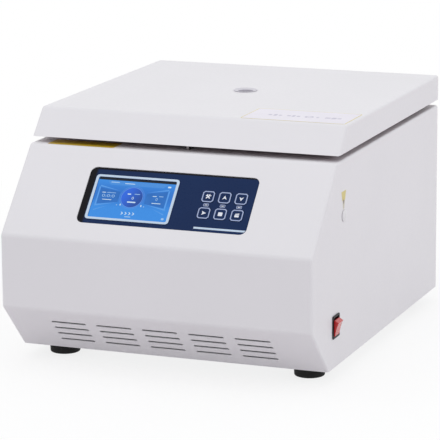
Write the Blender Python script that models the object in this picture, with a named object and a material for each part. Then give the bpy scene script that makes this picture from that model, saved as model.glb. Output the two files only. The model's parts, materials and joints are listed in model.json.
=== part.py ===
# Bench-top low-speed centrifuge with a swing-out rotor. All sizes are in metres.
# The origin is on the bench, in the middle of the footprint. +Z is up, the front faces -Y,
# and +X is to the right of somebody who stands in front of it.

import math

import bmesh
import bpy
from mathutils import Matrix, Vector

# Clearances and mesh fineness
gap = 0.0003
overrun = 0.003
running_gap = 0.001
merge_distance = 0.000001
smooth_angle = math.radians(35)
full_turn = math.tau
round_profile = 0.5
bowl_steps = 48
turn_steps = 24
round_steps = 16
small_steps = 12
corner_steps = 3
slot_end_steps = 2
bend_steps = 2

# Feet and tray
foot_height = 0.0157
foot_top_radius = 0.0185
foot_bottom_radius = 0.0177
foot_edge_round = 0.0015
foot_side_inset = 0.036
foot_front_inset = 0.094
foot_rear_inset = 0.060
tray_wall = 0.0015
tray_flange_height = 0.016

# Case sheet
case_wall = 0.0015
bend_radius = 0.003
chin_rise = 0.0573
chin_run = 0.0551
band_height = 0.0861
slope_run = 0.0856
deck_lip = 0.0652
rear_room = 0.0328
side_bay = 0.0413

# Vent slots in the chin
slot_length = 0.0435
slot_height = 0.0036
slot_column_pitch = 0.0567
slot_row_pitch = 0.0123
slot_columns = 5
slot_rows = 4
slot_first_row = 0.019
slot_shift = -0.0002

# Swing buckets
bucket_radius = 0.022
bucket_wall = 0.0018
bucket_floor = 0.003
bucket_hang = 0.076
bucket_rise = 0.014
bucket_foot_round = 0.006
bucket_lip = 0.0015
bucket_lip_height = 0.004
boss_radius = 0.0065
boss_length = 0.0047
pin_radius = 0.004
pin_length = 0.004
bucket_count = 4

# Rotor yoke, shaft and nut
arm_root = 0.007
arm_nose = 0.012
arm_end = 0.012
swing_room = 0.001
yoke_thickness = 0.020
yoke_bevel = 0.0015
hub_rise = 0.010
hub_radius = 0.020
shaft_radius = 0.006
shaft_depth = 0.012
shaft_collar_radius = 0.014
shaft_collar_height = 0.004
thread_radius = 0.005
thread_length = 0.008
nut_radius = 0.014
nut_height = 0.012
nut_bevel = 0.0012
nut_sides = 6

# Bowl, gasket and boot
bowl_clearance = 0.00765
bowl_wall = 0.0012
bowl_floor_round = 0.018
floor_room = 0.014
head_room = 0.0433
bowl_flange = 0.0095
bowl_drain_radius = 0.023
gasket_height = 0.0056
gasket_inset = 0.0015
boot_radius = 0.030
boot_thickness = 0.0025
boot_neck_radius = 0.014
boot_neck_height = 0.010
boot_bore_gap = 0.002

# Motor and its mounting
damper_height = 0.0342
damper_radius = 0.014
damper_waist = 0.003
damper_circle = 0.082
damper_count = 3
damper_turn = math.radians(90)
plate_thickness = 0.006
plate_margin = 0.014
motor_radius = 0.055
motor_drop = 0.034
motor_rise = 0.0474
motor_flange_radius = 0.067
motor_flange_height = 0.006
motor_boss_radius = 0.021
motor_boss_height = 0.006
motor_edge = 0.004
motor_room = 0.0108

# Display panel on the slope, measured along the slope from the upper knee
panel_height = 0.075
panel_corner = 0.008
panel_from_knee = 0.0619
panel_shift = 0.0011
panel_recess = 0.0008
panel_back_margin = 0.004
panel_back_thickness = 0.0025
window_from_end = 0.0127
window_width = 0.0965
window_height = 0.0528
window_corner = 0.002
window_drop = -0.0021
frame_border = 0.00335
frame_thickness = 0.0008
frame_corner = 0.004
screen_sink = 0.0002
screen_back_margin = 0.004
screen_back_thickness = 0.0018
key_size = 0.015
key_corner = 0.003
key_column_pitch = 0.020
key_row_pitch = 0.0217
keys_from_window = 0.03455
keys_from_end = 0.00875
key_drop = -0.0020
key_proud = 0.0004
key_travel = 0.0006
board_thickness = 0.0016
board_boss_height = 0.0023
board_boss_radius = 0.003
board_boss_inset = 0.0045
board_margin = 0.001
chip_size = 0.014
chip_height = 0.003
connector_length = 0.030
connector_width = 0.007
connector_height = 0.006

# Lid
lid_height = 0.030
lid_wall = 0.0015
lid_overhang = 0.0038
liner_thickness = 0.002
port_radius = 0.013
port_wall = 0.002
port_flange = 0.001
port_flange_height = 0.0008
port_ledge = 0.002
glass_thickness = 0.003

# Lid lock
striker_ahead = 0.0358
striker_thickness = 0.003
striker_width = 0.014
striker_foot_length = 0.026
striker_foot_width = 0.022
striker_foot_height = 0.002
striker_lip = 0.004
striker_slot_side = 0.0018
striker_slot_end = 0.003
bolt_radius = 0.004
bolt_window_room = 0.0006
bolt_drop = 0.012
bolt_length = 0.040
bolt_travel = 0.009
bolt_point = 0.0012
lock_left = 0.014
lock_right = 0.030
lock_width = 0.030
lock_height = 0.030
lock_pocket_floor = 0.0025
solenoid_length = 0.032
solenoid_width = 0.026
solenoid_height = 0.024
solenoid_end_wall = 0.004

# Hinges
hinge_spread = 0.110
hinge_width = 0.050
hinge_standoff = 0.008
hinge_barrel_radius = 0.0038
hinge_pin_radius = 0.002
hinge_pin_head_radius = 0.0032
hinge_pin_head_height = 0.0015
hinge_leaf_thickness = 0.0015
hinge_base_height = 0.034
hinge_leaf_height = 0.024
hinge_leaf_rise = 0.003
hinge_knuckle = 0.0125

# Gas spring, placed from the hinge axis
strut_base_ahead = 0.093
strut_base_drop = 0.151
strut_tip_ahead = 0.033
strut_tip_rise = 0.010
strut_radius = 0.0075
strut_bore_radius = 0.0062
strut_floor = 0.011
strut_gland = 0.0045
strut_shown = 0.038
strut_eye_radius = 0.006
strut_eye_width = 0.008
strut_neck_radius = 0.004
rod_radius = 0.003
rod_piston_radius = 0.0058
rod_piston_height = 0.006
rod_start = 0.024
rod_head_radius = 0.0055
rod_stud_radius = 0.002
rod_cap_radius = 0.0102
rod_cap_height = 0.0015
stud_room = 0.0066
bracket_thickness = 0.002
bracket_margin = 0.002
bracket_foot = 0.012
mount_size = 0.030
mount_pin_radius = 0.003
mount_shoulder_radius = 0.006
strut_slot_half_width = 0.006
strut_slot_ahead = 0.012
strut_slot_behind = 0.019
notch_room = 0.012
notch_length = 0.044

# Mains switch in the right side
switch_from_front = 0.0797
switch_above_tray = 0.0484
switch_bezel_width = 0.023
switch_bezel_height = 0.027
switch_bezel_proud = 0.0012
switch_corner = 0.002
switch_mouth_half_width = 0.0086
switch_mouth_half_height = 0.0109
switch_mouth_corner = 0.001
switch_barrel_wall = 0.0013
switch_depth = 0.018
switch_cavity_depth = 0.0115
rocker_axis_depth = 0.0055
rocker_side_gap = 0.0004
rocker_half_height = 0.0094
rocker_centre = 0.0082
rocker_hollow = 0.0006
rocker_tilt = math.radians(16)
rocker_shoulder = 0.0035
rocker_back = 0.004
rocker_back_half = 0.0045

# Release plug in the right side
plug_from_front = 0.1085
plug_above_knee = 0.0271
plug_hole_radius = 0.0053
plug_radius = 0.007
plug_dome = 0.0026
plug_shank_length = 0.010

# Back panel, inlet and fan
inlet_from_centre = 0.120
inlet_above_tray = 0.046
inlet_flange_width = 0.048
inlet_flange_height = 0.027
inlet_flange_thickness = 0.002
inlet_corner = 0.003
inlet_width = 0.0275
inlet_height = 0.0195
inlet_wall = 0.0016
inlet_depth = 0.022
inlet_cavity_depth = 0.017
inlet_pin_width = 0.002
inlet_pin_height = 0.004
inlet_pin_length = 0.014
inlet_pin_spread = 0.007
inlet_pin_drop = 0.002
fan_from_centre = 0.100
fan_above_tray = 0.076
fan_size = 0.080
fan_corner = 0.004
fan_depth = 0.020
fan_throat = 0.037
fan_hub_radius = 0.016
fan_strut_width = 0.004
fan_plate = 0.003
fan_strut_count = 4
impeller_hub_radius = 0.0155
impeller_height = 0.014
impeller_reach = 0.0355
blade_count = 7
blade_thickness = 0.0016
blade_chord = 0.016
blade_pitch = math.radians(38)
blade_root = 0.004
grille_radius = 0.036
grille_slot_height = 0.004
grille_pitch = 0.008
grille_rows = 9

# Drive board and heat sink on the tray
drive_width = 0.150
drive_depth = 0.100
drive_from_plate = 0.008
drive_shift = -0.085
drive_boss_height = 0.008
drive_boss_inset = 0.008
drive_boss_radius = 0.004
sink_width = 0.100
sink_depth = 0.060
sink_base = 0.004
sink_height = 0.026
sink_fins = 9
sink_fin_thickness = 0.002

# Shape of the case and the rotor, worked out from the sizes above
tray_z = foot_height + gap
tray_top_z = tray_z + tray_wall
yoke_slot_half = bucket_radius + boss_length + gap
hub_half = yoke_slot_half + arm_root
bucket_sweep = math.hypot(bucket_radius + bucket_lip, bucket_rise)
trunnion_radius = hub_half + bucket_sweep + swing_room
bowl_radius = trunnion_radius + bucket_hang + bowl_clearance
bowl_outer = bowl_radius + bowl_wall
flange_radius = bowl_outer + bowl_flange
mount_plate_z = tray_top_z + gap + damper_height + gap
mount_plate_top_z = mount_plate_z + plate_thickness
motor_flange_z = mount_plate_top_z + gap
motor_top_z = motor_flange_z + motor_rise
bowl_floor_z = motor_top_z + motor_room + bowl_wall
trunnion_z = bowl_floor_z + floor_room + bucket_hang
deck_z = trunnion_z + head_room
lower_knee_z = tray_z + chin_rise
upper_knee_z = lower_knee_z + band_height
slope_rise = deck_z - upper_knee_z
flange_z = deck_z + gap
gasket_z = flange_z + bowl_wall + gap
lid_z = gasket_z + gasket_height + gap
lid_top_z = lid_z + lid_height
case_half_width = bowl_outer + side_bay + case_wall
inner_half_width = case_half_width - case_wall
case_depth = slope_run + deck_lip + 2 * bowl_outer + rear_room
hinge_reach = hinge_standoff + hinge_barrel_radius
front_y = -(case_depth + hinge_reach) / 2
back_y = front_y + case_depth
deck_front_y = front_y + slope_run
axis_y = deck_front_y + deck_lip + bowl_outer
hinge_y = back_y + hinge_standoff
hinge_z = (deck_z + lid_z) / 2
plate_radius = damper_circle + plate_margin
key_block = 2 * key_column_pitch + key_size
panel_width = window_from_end + window_width + keys_from_window + key_block + keys_from_end
window_shift = window_from_end + (window_width - panel_width) / 2
key_shift = (panel_width - key_block) / 2 - keys_from_end
strut_x = bowl_outer + side_bay / 2

# Frames: local X runs to the right, local Y up along the sheet, local Z out of it
slope_frame = (
    Matrix.Translation((0, front_y, upper_knee_z))
    @ Matrix.Rotation(math.atan2(slope_rise, slope_run), 4, "X")
)
chin_frame = (
    Matrix.Translation((0, front_y + chin_run, tray_z))
    @ Matrix.Rotation(math.atan2(chin_rise, -chin_run), 4, "X")
)
panel_frame = slope_frame @ Matrix.Translation((panel_shift, panel_from_knee, 0))
rotor_axis = Vector((0, axis_y, 0))
hinge_axis = Vector((0, hinge_y, hinge_z))
strut_base = Vector((strut_x, hinge_y - strut_base_ahead, hinge_z - strut_base_drop))
strut_tip = Vector((strut_x, hinge_y - strut_tip_ahead, hinge_z + strut_tip_rise))
strut_length = (strut_tip - strut_base).length
strut_lean = math.atan2(strut_tip.y - strut_base.y, strut_tip.z - strut_base.z)
strut_frame = Matrix.Translation(strut_base) @ Matrix.Rotation(-strut_lean, 4, "X")


def clear_scene():
    for old in list(bpy.data.objects):
        bpy.data.objects.remove(old)


def finish(name, colour, roughness, metallic=0.0):
    """One Principled material."""
    material = bpy.data.materials.new(name)
    material.use_nodes = True
    shader = material.node_tree.nodes["Principled BSDF"]
    shader.inputs["Base Color"].default_value = (*colour, 1.0)
    shader.inputs["Roughness"].default_value = roughness
    shader.inputs["Metallic"].default_value = metallic
    material.diffuse_color = (*colour, 1.0)
    return material


# Outlines

def rounded_rectangle(width, height, corner, steps=corner_steps):
    """Points of a rectangle with round corners, centred on zero, anticlockwise."""
    points = []
    for quarter, (side, level) in enumerate(((1, 1), (-1, 1), (-1, -1), (1, -1))):
        centre_x = side * (width / 2 - corner)
        centre_y = level * (height / 2 - corner)
        for step in range(steps + 1):
            angle = math.pi / 2 * (quarter + step / steps)
            points.append((centre_x + corner * math.cos(angle), centre_y + corner * math.sin(angle)))
    return points


def circle(radius, steps, centre=(0, 0)):
    return [
        (centre[0] + radius * math.cos(full_turn * step / steps),
         centre[1] + radius * math.sin(full_turn * step / steps))
        for step in range(steps)
    ]


def rectangle(low, high):
    return [(low[0], low[1]), (high[0], low[1]), (high[0], high[1]), (low[0], high[1])]


def moved(points, shift):
    return [(x + shift[0], y + shift[1]) for x, y in points]


def arc(centre, radius, start, end, steps=corner_steps):
    """Points on a round corner, from one angle to another, in quarter turns."""
    points = []
    for step in range(steps + 1):
        angle = math.pi / 2 * (start + (end - start) * step / steps)
        points.append((centre[0] + radius * math.cos(angle), centre[1] + radius * math.sin(angle)))
    return points


# Solids in a bmesh

def add_prism(bm, outline, axis, low, high):
    """A closed prism: the outline lies across the axis and runs from low to high along it."""
    places = {
        "X": lambda u, v, level: (level, u, v),
        "Y": lambda u, v, level: (u, level, v),
        "Z": lambda u, v, level: (u, v, level),
    }
    place = places[axis]
    verts = [bm.verts.new(place(u, v, low)) for u, v in outline]
    face = bm.faces.new(verts)
    grown = bmesh.ops.extrude_face_region(bm, geom=[face])
    moving = [item for item in grown["geom"] if isinstance(item, bmesh.types.BMVert)]
    bmesh.ops.translate(bm, verts=moving, vec=place(0, 0, high - low))
    return verts + moving


def add_box(bm, low, high):
    return add_prism(bm, rectangle(low[:2], high[:2]), "Z", low[2], high[2])


def add_turned(bm, profile, steps, axis="Z", centre=(0, 0, 0)):
    """A turned solid. The profile's points are (radius, height along the axis)."""
    outward = {"X": Vector((0, 1, 0)), "Y": Vector((1, 0, 0)), "Z": Vector((1, 0, 0))}[axis]
    along = {"X": Vector((1, 0, 0)), "Y": Vector((0, 1, 0)), "Z": Vector((0, 0, 1))}[axis]
    start = Vector(centre)
    verts = [bm.verts.new(start + outward * radius + along * height) for radius, height in profile]
    edges = [bm.edges.new(pair) for pair in zip(verts, verts[1:])]
    if profile[0][0] > 0:
        edges.append(bm.edges.new((verts[-1], verts[0])))
    old = set(bm.verts) - set(verts)
    bmesh.ops.spin(
        bm, geom=verts + edges, cent=start, axis=along, angle=full_turn, steps=steps, use_merge=True
    )
    new = [vert for vert in bm.verts if vert not in old]
    bmesh.ops.remove_doubles(bm, verts=new, dist=merge_distance)


def add_cylinder(bm, radius, low, high, steps, axis="Z", centre=(0, 0, 0)):
    add_turned(bm, [(0, low), (radius, low), (radius, high), (0, high)], steps, axis, centre)


# Objects

def make_object(name, bm, material=None, frame=Matrix(), pivot=None):
    """An object from a bmesh. A pivot is the world point that becomes its origin."""
    if pivot is not None:
        bm.transform(Matrix.Translation(-Vector(pivot)))
        frame = Matrix.Translation(pivot)
    bmesh.ops.recalc_face_normals(bm, faces=bm.faces)
    mesh = bpy.data.meshes.new(name)
    bm.to_mesh(mesh)
    bm.free()
    mesh.shade_smooth()
    mesh.set_sharp_from_angle(angle=smooth_angle)
    item = bpy.data.objects.new(name, mesh)
    item.matrix_basis = frame
    bpy.context.scene.collection.objects.link(item)
    if material is not None:
        mesh.materials.append(material)
    return item


def make_tool(name, bm, frame=Matrix()):
    """A solid that only cuts or joins, and isn't part of the model."""
    tool = make_object(name, bm, None, frame)
    tool.hide_render = True
    tool.display_type = "WIRE"
    return tool


def combine(item, tool, operation):
    step = item.modifiers.new(tool.name, "BOOLEAN")
    step.operation = operation
    step.solver = "EXACT"
    step.object = tool


def cut(item, bm, name, frame=Matrix()):
    combine(item, make_tool(item.name + "_" + name + "_cutter", bm, frame), "DIFFERENCE")


def fuse(item, bm, name, frame=Matrix()):
    combine(item, make_tool(item.name + "_" + name + "_addition", bm, frame), "UNION")


def make_pivot(name, place):
    """An empty on a joint's axis, which the moving pieces hang on."""
    pivot = bpy.data.objects.new(name, None)
    pivot.matrix_basis = Matrix.Translation(place)
    bpy.context.scene.collection.objects.link(pivot)
    return pivot


def hang(items, pivot):
    for item in items:
        item.parent = pivot
        item.matrix_parent_inverse = pivot.matrix_basis.inverted()


def bevel_edges(bm, edges, width, steps):
    bmesh.ops.bevel(
        bm, geom=edges, offset=width, segments=steps, profile=round_profile, affect="EDGES",
        clamp_overlap=True,
    )


# Case

def case_outline(inset=0, tail=0):
    """Side view of the case as (y, z), moved in by a sheet's thickness and run on at the open ends."""
    chin_tilt = math.atan2(chin_run, chin_rise)
    slope_tilt = math.atan2(slope_run, slope_rise)
    chin_shift = inset / math.cos(chin_tilt)
    knee_shift = inset * math.tan(chin_tilt / 2)
    brow_shift = inset * math.tan(slope_tilt / 2)
    deck_shift = inset * math.tan((math.pi / 2 - slope_tilt) / 2)
    bottom_y = front_y + chin_run + chin_shift + tail * chin_run / chin_rise
    return [
        (bottom_y, tray_z - tail),
        (front_y + inset, lower_knee_z + knee_shift),
        (front_y + inset, upper_knee_z - brow_shift),
        (deck_front_y + deck_shift, deck_z - inset),
        (back_y + tail, deck_z - inset),
        (back_y + tail, tray_z - tail),
    ]


def case_solid():
    """The outside of the case with its folds rounded, apart from the open bottom and back."""
    bm = bmesh.new()
    add_prism(bm, case_outline(), "X", -case_half_width, case_half_width)
    rounded = []
    for edge in bm.edges:
        first, second = (vert.co for vert in edge.verts)
        on_bottom = max(first.z, second.z) < tray_z + bend_radius
        on_back = min(first.y, second.y) > back_y - bend_radius
        if not on_bottom and not on_back:
            rounded.append(edge)
    bevel_edges(bm, rounded, bend_radius, bend_steps)
    return bm


def vent_slots():
    bm = bmesh.new()
    slot = rounded_rectangle(slot_length, slot_height, slot_height / 2, slot_end_steps)
    for column in range(slot_columns):
        across = (column - (slot_columns - 1) / 2) * slot_column_pitch + slot_shift
        for row in range(slot_rows):
            along = slot_first_row + row * slot_row_pitch
            add_prism(bm, moved(slot, (across, along)), "Z", -case_wall - overrun, overrun)
    return bm


def make_case_shell(paint):
    shell = make_object("case_shell", case_solid(), paint)
    hollow = bmesh.new()
    add_prism(hollow, case_outline(case_wall, overrun), "X", -inner_half_width, inner_half_width)
    cut(shell, hollow, "hollow")
    cut(shell, vent_slots(), "vents", chin_frame)
    openings = bmesh.new()
    add_cylinder(
        openings, bowl_outer + 2 * gap, deck_z - case_wall - overrun, deck_z + overrun, bowl_steps,
        centre=rotor_axis,
    )
    slot = rectangle(
        (-striker_thickness / 2 - striker_slot_side, striker_y() - striker_width / 2 - striker_slot_end),
        (striker_thickness / 2 + striker_slot_side, striker_y() + striker_width / 2 + striker_slot_end),
    )
    add_prism(openings, slot, "Z", deck_z - case_wall - overrun, deck_z + overrun)
    slot = rectangle(
        (strut_x - strut_slot_half_width, strut_tip.y - strut_slot_ahead),
        (strut_x + strut_slot_half_width, strut_tip.y + strut_slot_behind),
    )
    add_prism(openings, slot, "Z", deck_z - case_wall - overrun, deck_z + overrun)
    cut(shell, openings, "deck")
    window = bmesh.new()
    outline = rounded_rectangle(panel_width, panel_height, panel_corner)
    add_prism(window, outline, "Z", -case_wall - overrun, overrun)
    cut(shell, window, "panel", panel_frame)
    side = bmesh.new()
    outline = rounded_rectangle(
        switch_barrel_width() + 2 * gap, switch_barrel_height() + 2 * gap, switch_corner
    )
    low = inner_half_width - overrun
    high = case_half_width + overrun
    add_prism(side, moved(outline, switch_centre()), "X", low, high)
    add_cylinder(side, plug_hole_radius, low, high, small_steps, "X", (0, plug_y(), plug_z()))
    cut(shell, side, "side")
    return shell


def tray_outline():
    """Top view of the tray's floor, one gap inside the case sheet."""
    half = inner_half_width - gap
    low = front_y + chin_run + case_wall / math.cos(math.atan2(chin_run, chin_rise)) + gap
    high = back_y - case_wall - gap
    return rectangle((-half, low), (half, high))


def make_base_tray(metal):
    bm = bmesh.new()
    outline = tray_outline()
    add_prism(bm, outline, "Z", tray_z, tray_top_z + tray_flange_height)
    tray = make_object("base_tray", bm, metal)
    low, high = outline[0], outline[2]
    hollow = bmesh.new()
    add_box(
        hollow,
        (low[0] + tray_wall, low[1] - overrun, tray_top_z),
        (high[0] - tray_wall, high[1] - tray_wall, tray_top_z + tray_flange_height + overrun),
    )
    cut(tray, hollow, "hollow")
    return tray


def foot_places():
    side = case_half_width - foot_side_inset
    places = {}
    for end, y in (("front", front_y + foot_front_inset), ("rear", back_y - foot_rear_inset)):
        for hand, x in (("left", -side), ("right", side)):
            places["foot_" + end + "_" + hand] = (x, y)
    return places


def make_feet(rubber):
    feet = []
    for name, (x, y) in foot_places().items():
        bm = bmesh.new()
        edge = arc((foot_bottom_radius - foot_edge_round, foot_edge_round), foot_edge_round, -1, 0)
        profile = [(0, 0)] + edge + [(foot_top_radius, foot_height), (0, foot_height)]
        add_turned(bm, profile, turn_steps)
        feet.append(make_object(name, bm, rubber, Matrix.Translation((x, y, 0))))
    return feet


# Bowl and its seals

def make_bowl(steel):
    bottom = bowl_floor_z - bowl_wall
    outer = arc(
        (bowl_radius - bowl_floor_round, bowl_floor_z + bowl_floor_round), bowl_floor_round + bowl_wall, -1, 0
    )
    inner = arc((bowl_radius - bowl_floor_round, bowl_floor_z + bowl_floor_round), bowl_floor_round, 0, -1)
    top = flange_z + bowl_wall
    profile = [(bowl_drain_radius, bottom)] + outer + [
        (bowl_outer, flange_z),
        (flange_radius, flange_z),
        (flange_radius, top),
        (bowl_radius, top),
    ] + inner + [(bowl_drain_radius, bowl_floor_z)]
    bm = bmesh.new()
    add_turned(bm, profile, bowl_steps)
    return make_object("bowl", bm, steel, Matrix.Translation(rotor_axis))


def make_chamber_gasket(rubber):
    low = bowl_radius + gasket_inset
    high = flange_radius - gasket_inset
    middle = (low + high) / 2
    bulb = (high - low) / 2
    profile = [(low, gasket_z), (high, gasket_z), (high, gasket_z + gasket_height - bulb / 2)]
    profile += [(middle + bulb / 2, gasket_z + gasket_height), (middle - bulb / 2, gasket_z + gasket_height)]
    profile += [(low, gasket_z + gasket_height - bulb / 2)]
    bm = bmesh.new()
    add_turned(bm, profile, bowl_steps)
    return make_object("chamber_gasket", bm, rubber, Matrix.Translation(rotor_axis))


def make_shaft_boot(rubber):
    bore = shaft_radius + boot_bore_gap
    seat = bowl_floor_z + gap
    profile = [
        (bore, motor_top_z + motor_room / 2),
        (bowl_drain_radius - gap, motor_top_z + motor_room / 2),
        (bowl_drain_radius - gap, seat),
        (boot_radius, seat),
        (boot_radius, seat + boot_thickness / 2),
        (boot_radius - boot_thickness / 2, seat + boot_thickness),
        (boot_neck_radius, seat + boot_thickness),
        (bore + boot_thickness, seat + boot_neck_height),
        (bore, seat + boot_neck_height),
    ]
    bm = bmesh.new()
    add_turned(bm, profile, turn_steps)
    return make_object("shaft_boot", bm, rubber, Matrix.Translation(rotor_axis))


# Motor

def make_motor(paint):
    flange_top = motor_flange_z + motor_flange_height
    bottom = motor_flange_z - motor_drop
    boss = motor_top_z - motor_boss_height
    bore = shaft_radius + gap
    profile = [
        (0, bottom),
        (motor_radius - motor_edge, bottom),
        (motor_radius, bottom + motor_edge),
        (motor_radius, motor_flange_z),
        (motor_flange_radius, motor_flange_z),
        (motor_flange_radius, flange_top),
        (motor_radius, flange_top),
        (motor_radius, boss - motor_edge),
        (motor_radius - motor_edge, boss),
        (motor_boss_radius, boss),
        (motor_boss_radius, motor_top_z),
        (bore, motor_top_z),
        (bore, motor_top_z - shaft_depth - gap),
        (0, motor_top_z - shaft_depth - gap),
    ]
    bm = bmesh.new()
    add_turned(bm, profile, turn_steps)
    return make_object("motor", bm, paint, Matrix.Translation(rotor_axis))


def make_motor_plate(metal):
    profile = [
        (motor_radius + running_gap, mount_plate_z),
        (plate_radius, mount_plate_z),
        (plate_radius, mount_plate_top_z),
        (motor_radius + running_gap, mount_plate_top_z),
    ]
    bm = bmesh.new()
    add_turned(bm, profile, turn_steps)
    return make_object("motor_plate", bm, metal, Matrix.Translation(rotor_axis))


def make_dampers(rubber):
    low = tray_top_z + gap
    profile = [
        (0, low),
        (damper_radius, low),
        (damper_radius, low + damper_waist),
        (damper_radius - damper_waist, low + 2 * damper_waist),
        (damper_radius - damper_waist, low + damper_height - 2 * damper_waist),
        (damper_radius, low + damper_height - damper_waist),
        (damper_radius, low + damper_height),
        (0, low + damper_height),
    ]
    dampers = []
    for number in range(damper_count):
        angle = damper_turn + full_turn * number / damper_count
        place = (damper_circle * math.cos(angle), axis_y + damper_circle * math.sin(angle), 0)
        bm = bmesh.new()
        add_turned(bm, profile, round_steps)
        dampers.append(make_object(f"motor_damper_{number + 1}", bm, rubber, Matrix.Translation(place)))
    return dampers


# Rotor

def make_rotor_shaft(steel):
    yoke_bottom = trunnion_z - yoke_thickness / 2
    hub_top = trunnion_z + yoke_thickness / 2 + hub_rise
    profile = [
        (0, motor_top_z - shaft_depth),
        (shaft_radius, motor_top_z - shaft_depth),
        (shaft_radius, yoke_bottom - gap - shaft_collar_height),
        (shaft_collar_radius, yoke_bottom - gap - shaft_collar_height),
        (shaft_collar_radius, yoke_bottom - gap),
        (shaft_radius, yoke_bottom - gap),
        (shaft_radius, hub_top),
        (thread_radius, hub_top),
        (thread_radius, hub_top + gap + thread_length),
        (0, hub_top + gap + thread_length),
    ]
    bm = bmesh.new()
    add_turned(bm, profile, small_steps)
    return make_object("rotor_shaft", bm, steel, Matrix.Translation(rotor_axis))


def yoke_outline():
    """Top view of the yoke: a square hub with four arms, and a slot between each two arms."""
    tip = trunnion_radius + arm_end
    quarter = [
        (hub_half, yoke_slot_half),
        (tip, yoke_slot_half),
        (tip, yoke_slot_half + arm_nose),
        (yoke_slot_half + arm_nose, tip),
        (yoke_slot_half, tip),
        (yoke_slot_half, hub_half),
    ]
    points = []
    for turn in range(bucket_count):
        angle = full_turn * turn / bucket_count
        across, along = math.cos(angle), math.sin(angle)
        for x, y in quarter:
            points.append((x * across - y * along, x * along + y * across))
    return points


def make_rotor_yoke(aluminium):
    low = trunnion_z - yoke_thickness / 2
    high = trunnion_z + yoke_thickness / 2
    bm = bmesh.new()
    add_prism(bm, yoke_outline(), "Z", low, high)
    level = [edge for edge in bm.edges if abs(edge.verts[0].co.z - edge.verts[1].co.z) < merge_distance]
    bevel_edges(bm, level, yoke_bevel, 1)
    yoke = make_object("rotor_yoke", bm, aluminium, Matrix.Translation(rotor_axis))
    hub = bmesh.new()
    add_turned(hub, [(0, trunnion_z), (hub_radius, trunnion_z), (hub_radius, high + hub_rise - yoke_bevel),
                     (hub_radius - yoke_bevel, high + hub_rise), (0, high + hub_rise)], turn_steps)
    fuse(yoke, hub, "hub", Matrix.Translation(rotor_axis))
    pins = bmesh.new()
    for number in range(bucket_count):
        turn = Matrix.Rotation(full_turn * number / bucket_count, 4, "Z")
        for side in (-1, 1):
            pin = bmesh.new()
            near = side * (yoke_slot_half - pin_length)
            far = side * (yoke_slot_half + arm_nose / 2)
            add_cylinder(pin, pin_radius, min(near, far), max(near, far), small_steps, "Y",
                         (trunnion_radius, 0, trunnion_z))
            pin.transform(turn)
            copy_into(pins, pin)
    fuse(yoke, pins, "pins", Matrix.Translation(rotor_axis))
    bore = bmesh.new()
    add_cylinder(bore, shaft_radius + gap, low - overrun, high + hub_rise + overrun, small_steps)
    cut(yoke, bore, "bore", Matrix.Translation(rotor_axis))
    return yoke


def copy_into(target, source):
    """Add one bmesh's solids to another."""
    carrier = bpy.data.meshes.new("carrier")
    source.to_mesh(carrier)
    source.free()
    target.from_mesh(carrier)
    bpy.data.meshes.remove(carrier)


def make_rotor_nut(steel):
    low = trunnion_z + yoke_thickness / 2 + hub_rise + gap
    bm = bmesh.new()
    add_prism(bm, circle(nut_radius, nut_sides), "Z", low, low + nut_height)
    top = [edge for edge in bm.edges if min(vert.co.z for vert in edge.verts) > low + nut_height / 2]
    bevel_edges(bm, top, nut_bevel, 1)
    nut = make_object("rotor_nut", bm, steel, Matrix.Translation(rotor_axis))
    bore = bmesh.new()
    add_cylinder(bore, thread_radius + gap, low - overrun, low + thread_length + gap, small_steps)
    cut(nut, bore, "bore", Matrix.Translation(rotor_axis))
    return nut


def bucket_frame(number):
    """Origin at the middle of the bucket's trunnion axis, local X pointing away from the shaft."""
    turn = Matrix.Rotation(full_turn * number / bucket_count, 4, "Z")
    return Matrix.Translation((0, axis_y, trunnion_z)) @ turn @ Matrix.Translation((trunnion_radius, 0, 0))


def make_buckets(aluminium):
    foot = arc((bucket_radius - bucket_foot_round, bucket_foot_round - bucket_hang), bucket_foot_round, -1, 0)
    inner = bucket_radius - bucket_wall
    lip = bucket_radius + bucket_lip
    profile = [(0, -bucket_hang)] + foot + [
        (bucket_radius, bucket_rise - bucket_lip_height - bucket_lip),
        (lip, bucket_rise - bucket_lip_height),
        (lip, bucket_rise),
        (inner, bucket_rise),
        (inner, bucket_floor + bucket_wall - bucket_hang),
        (inner - bucket_wall, bucket_floor - bucket_hang),
        (0, bucket_floor - bucket_hang),
    ]
    buckets = []
    for number in range(bucket_count):
        frame = bucket_frame(number)
        bm = bmesh.new()
        add_turned(bm, profile, turn_steps)
        bucket = make_object(f"bucket_{number + 1}", bm, aluminium, frame)
        bosses = bmesh.new()
        sockets = bmesh.new()
        for side in (-1, 1):
            root = side * (bucket_radius - bucket_wall / 2)
            end = side * (bucket_radius + boss_length)
            add_cylinder(bosses, boss_radius, min(root, end), max(root, end), small_steps, "Y")
            floor = side * (yoke_slot_half - pin_length - gap)
            mouth = side * (bucket_radius + boss_length + overrun)
            add_cylinder(sockets, pin_radius + gap, min(floor, mouth), max(floor, mouth), small_steps, "Y")
        fuse(bucket, bosses, "bosses", frame)
        cut(bucket, sockets, "sockets", frame)
        buckets.append(bucket)
    return buckets


# Display

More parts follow.
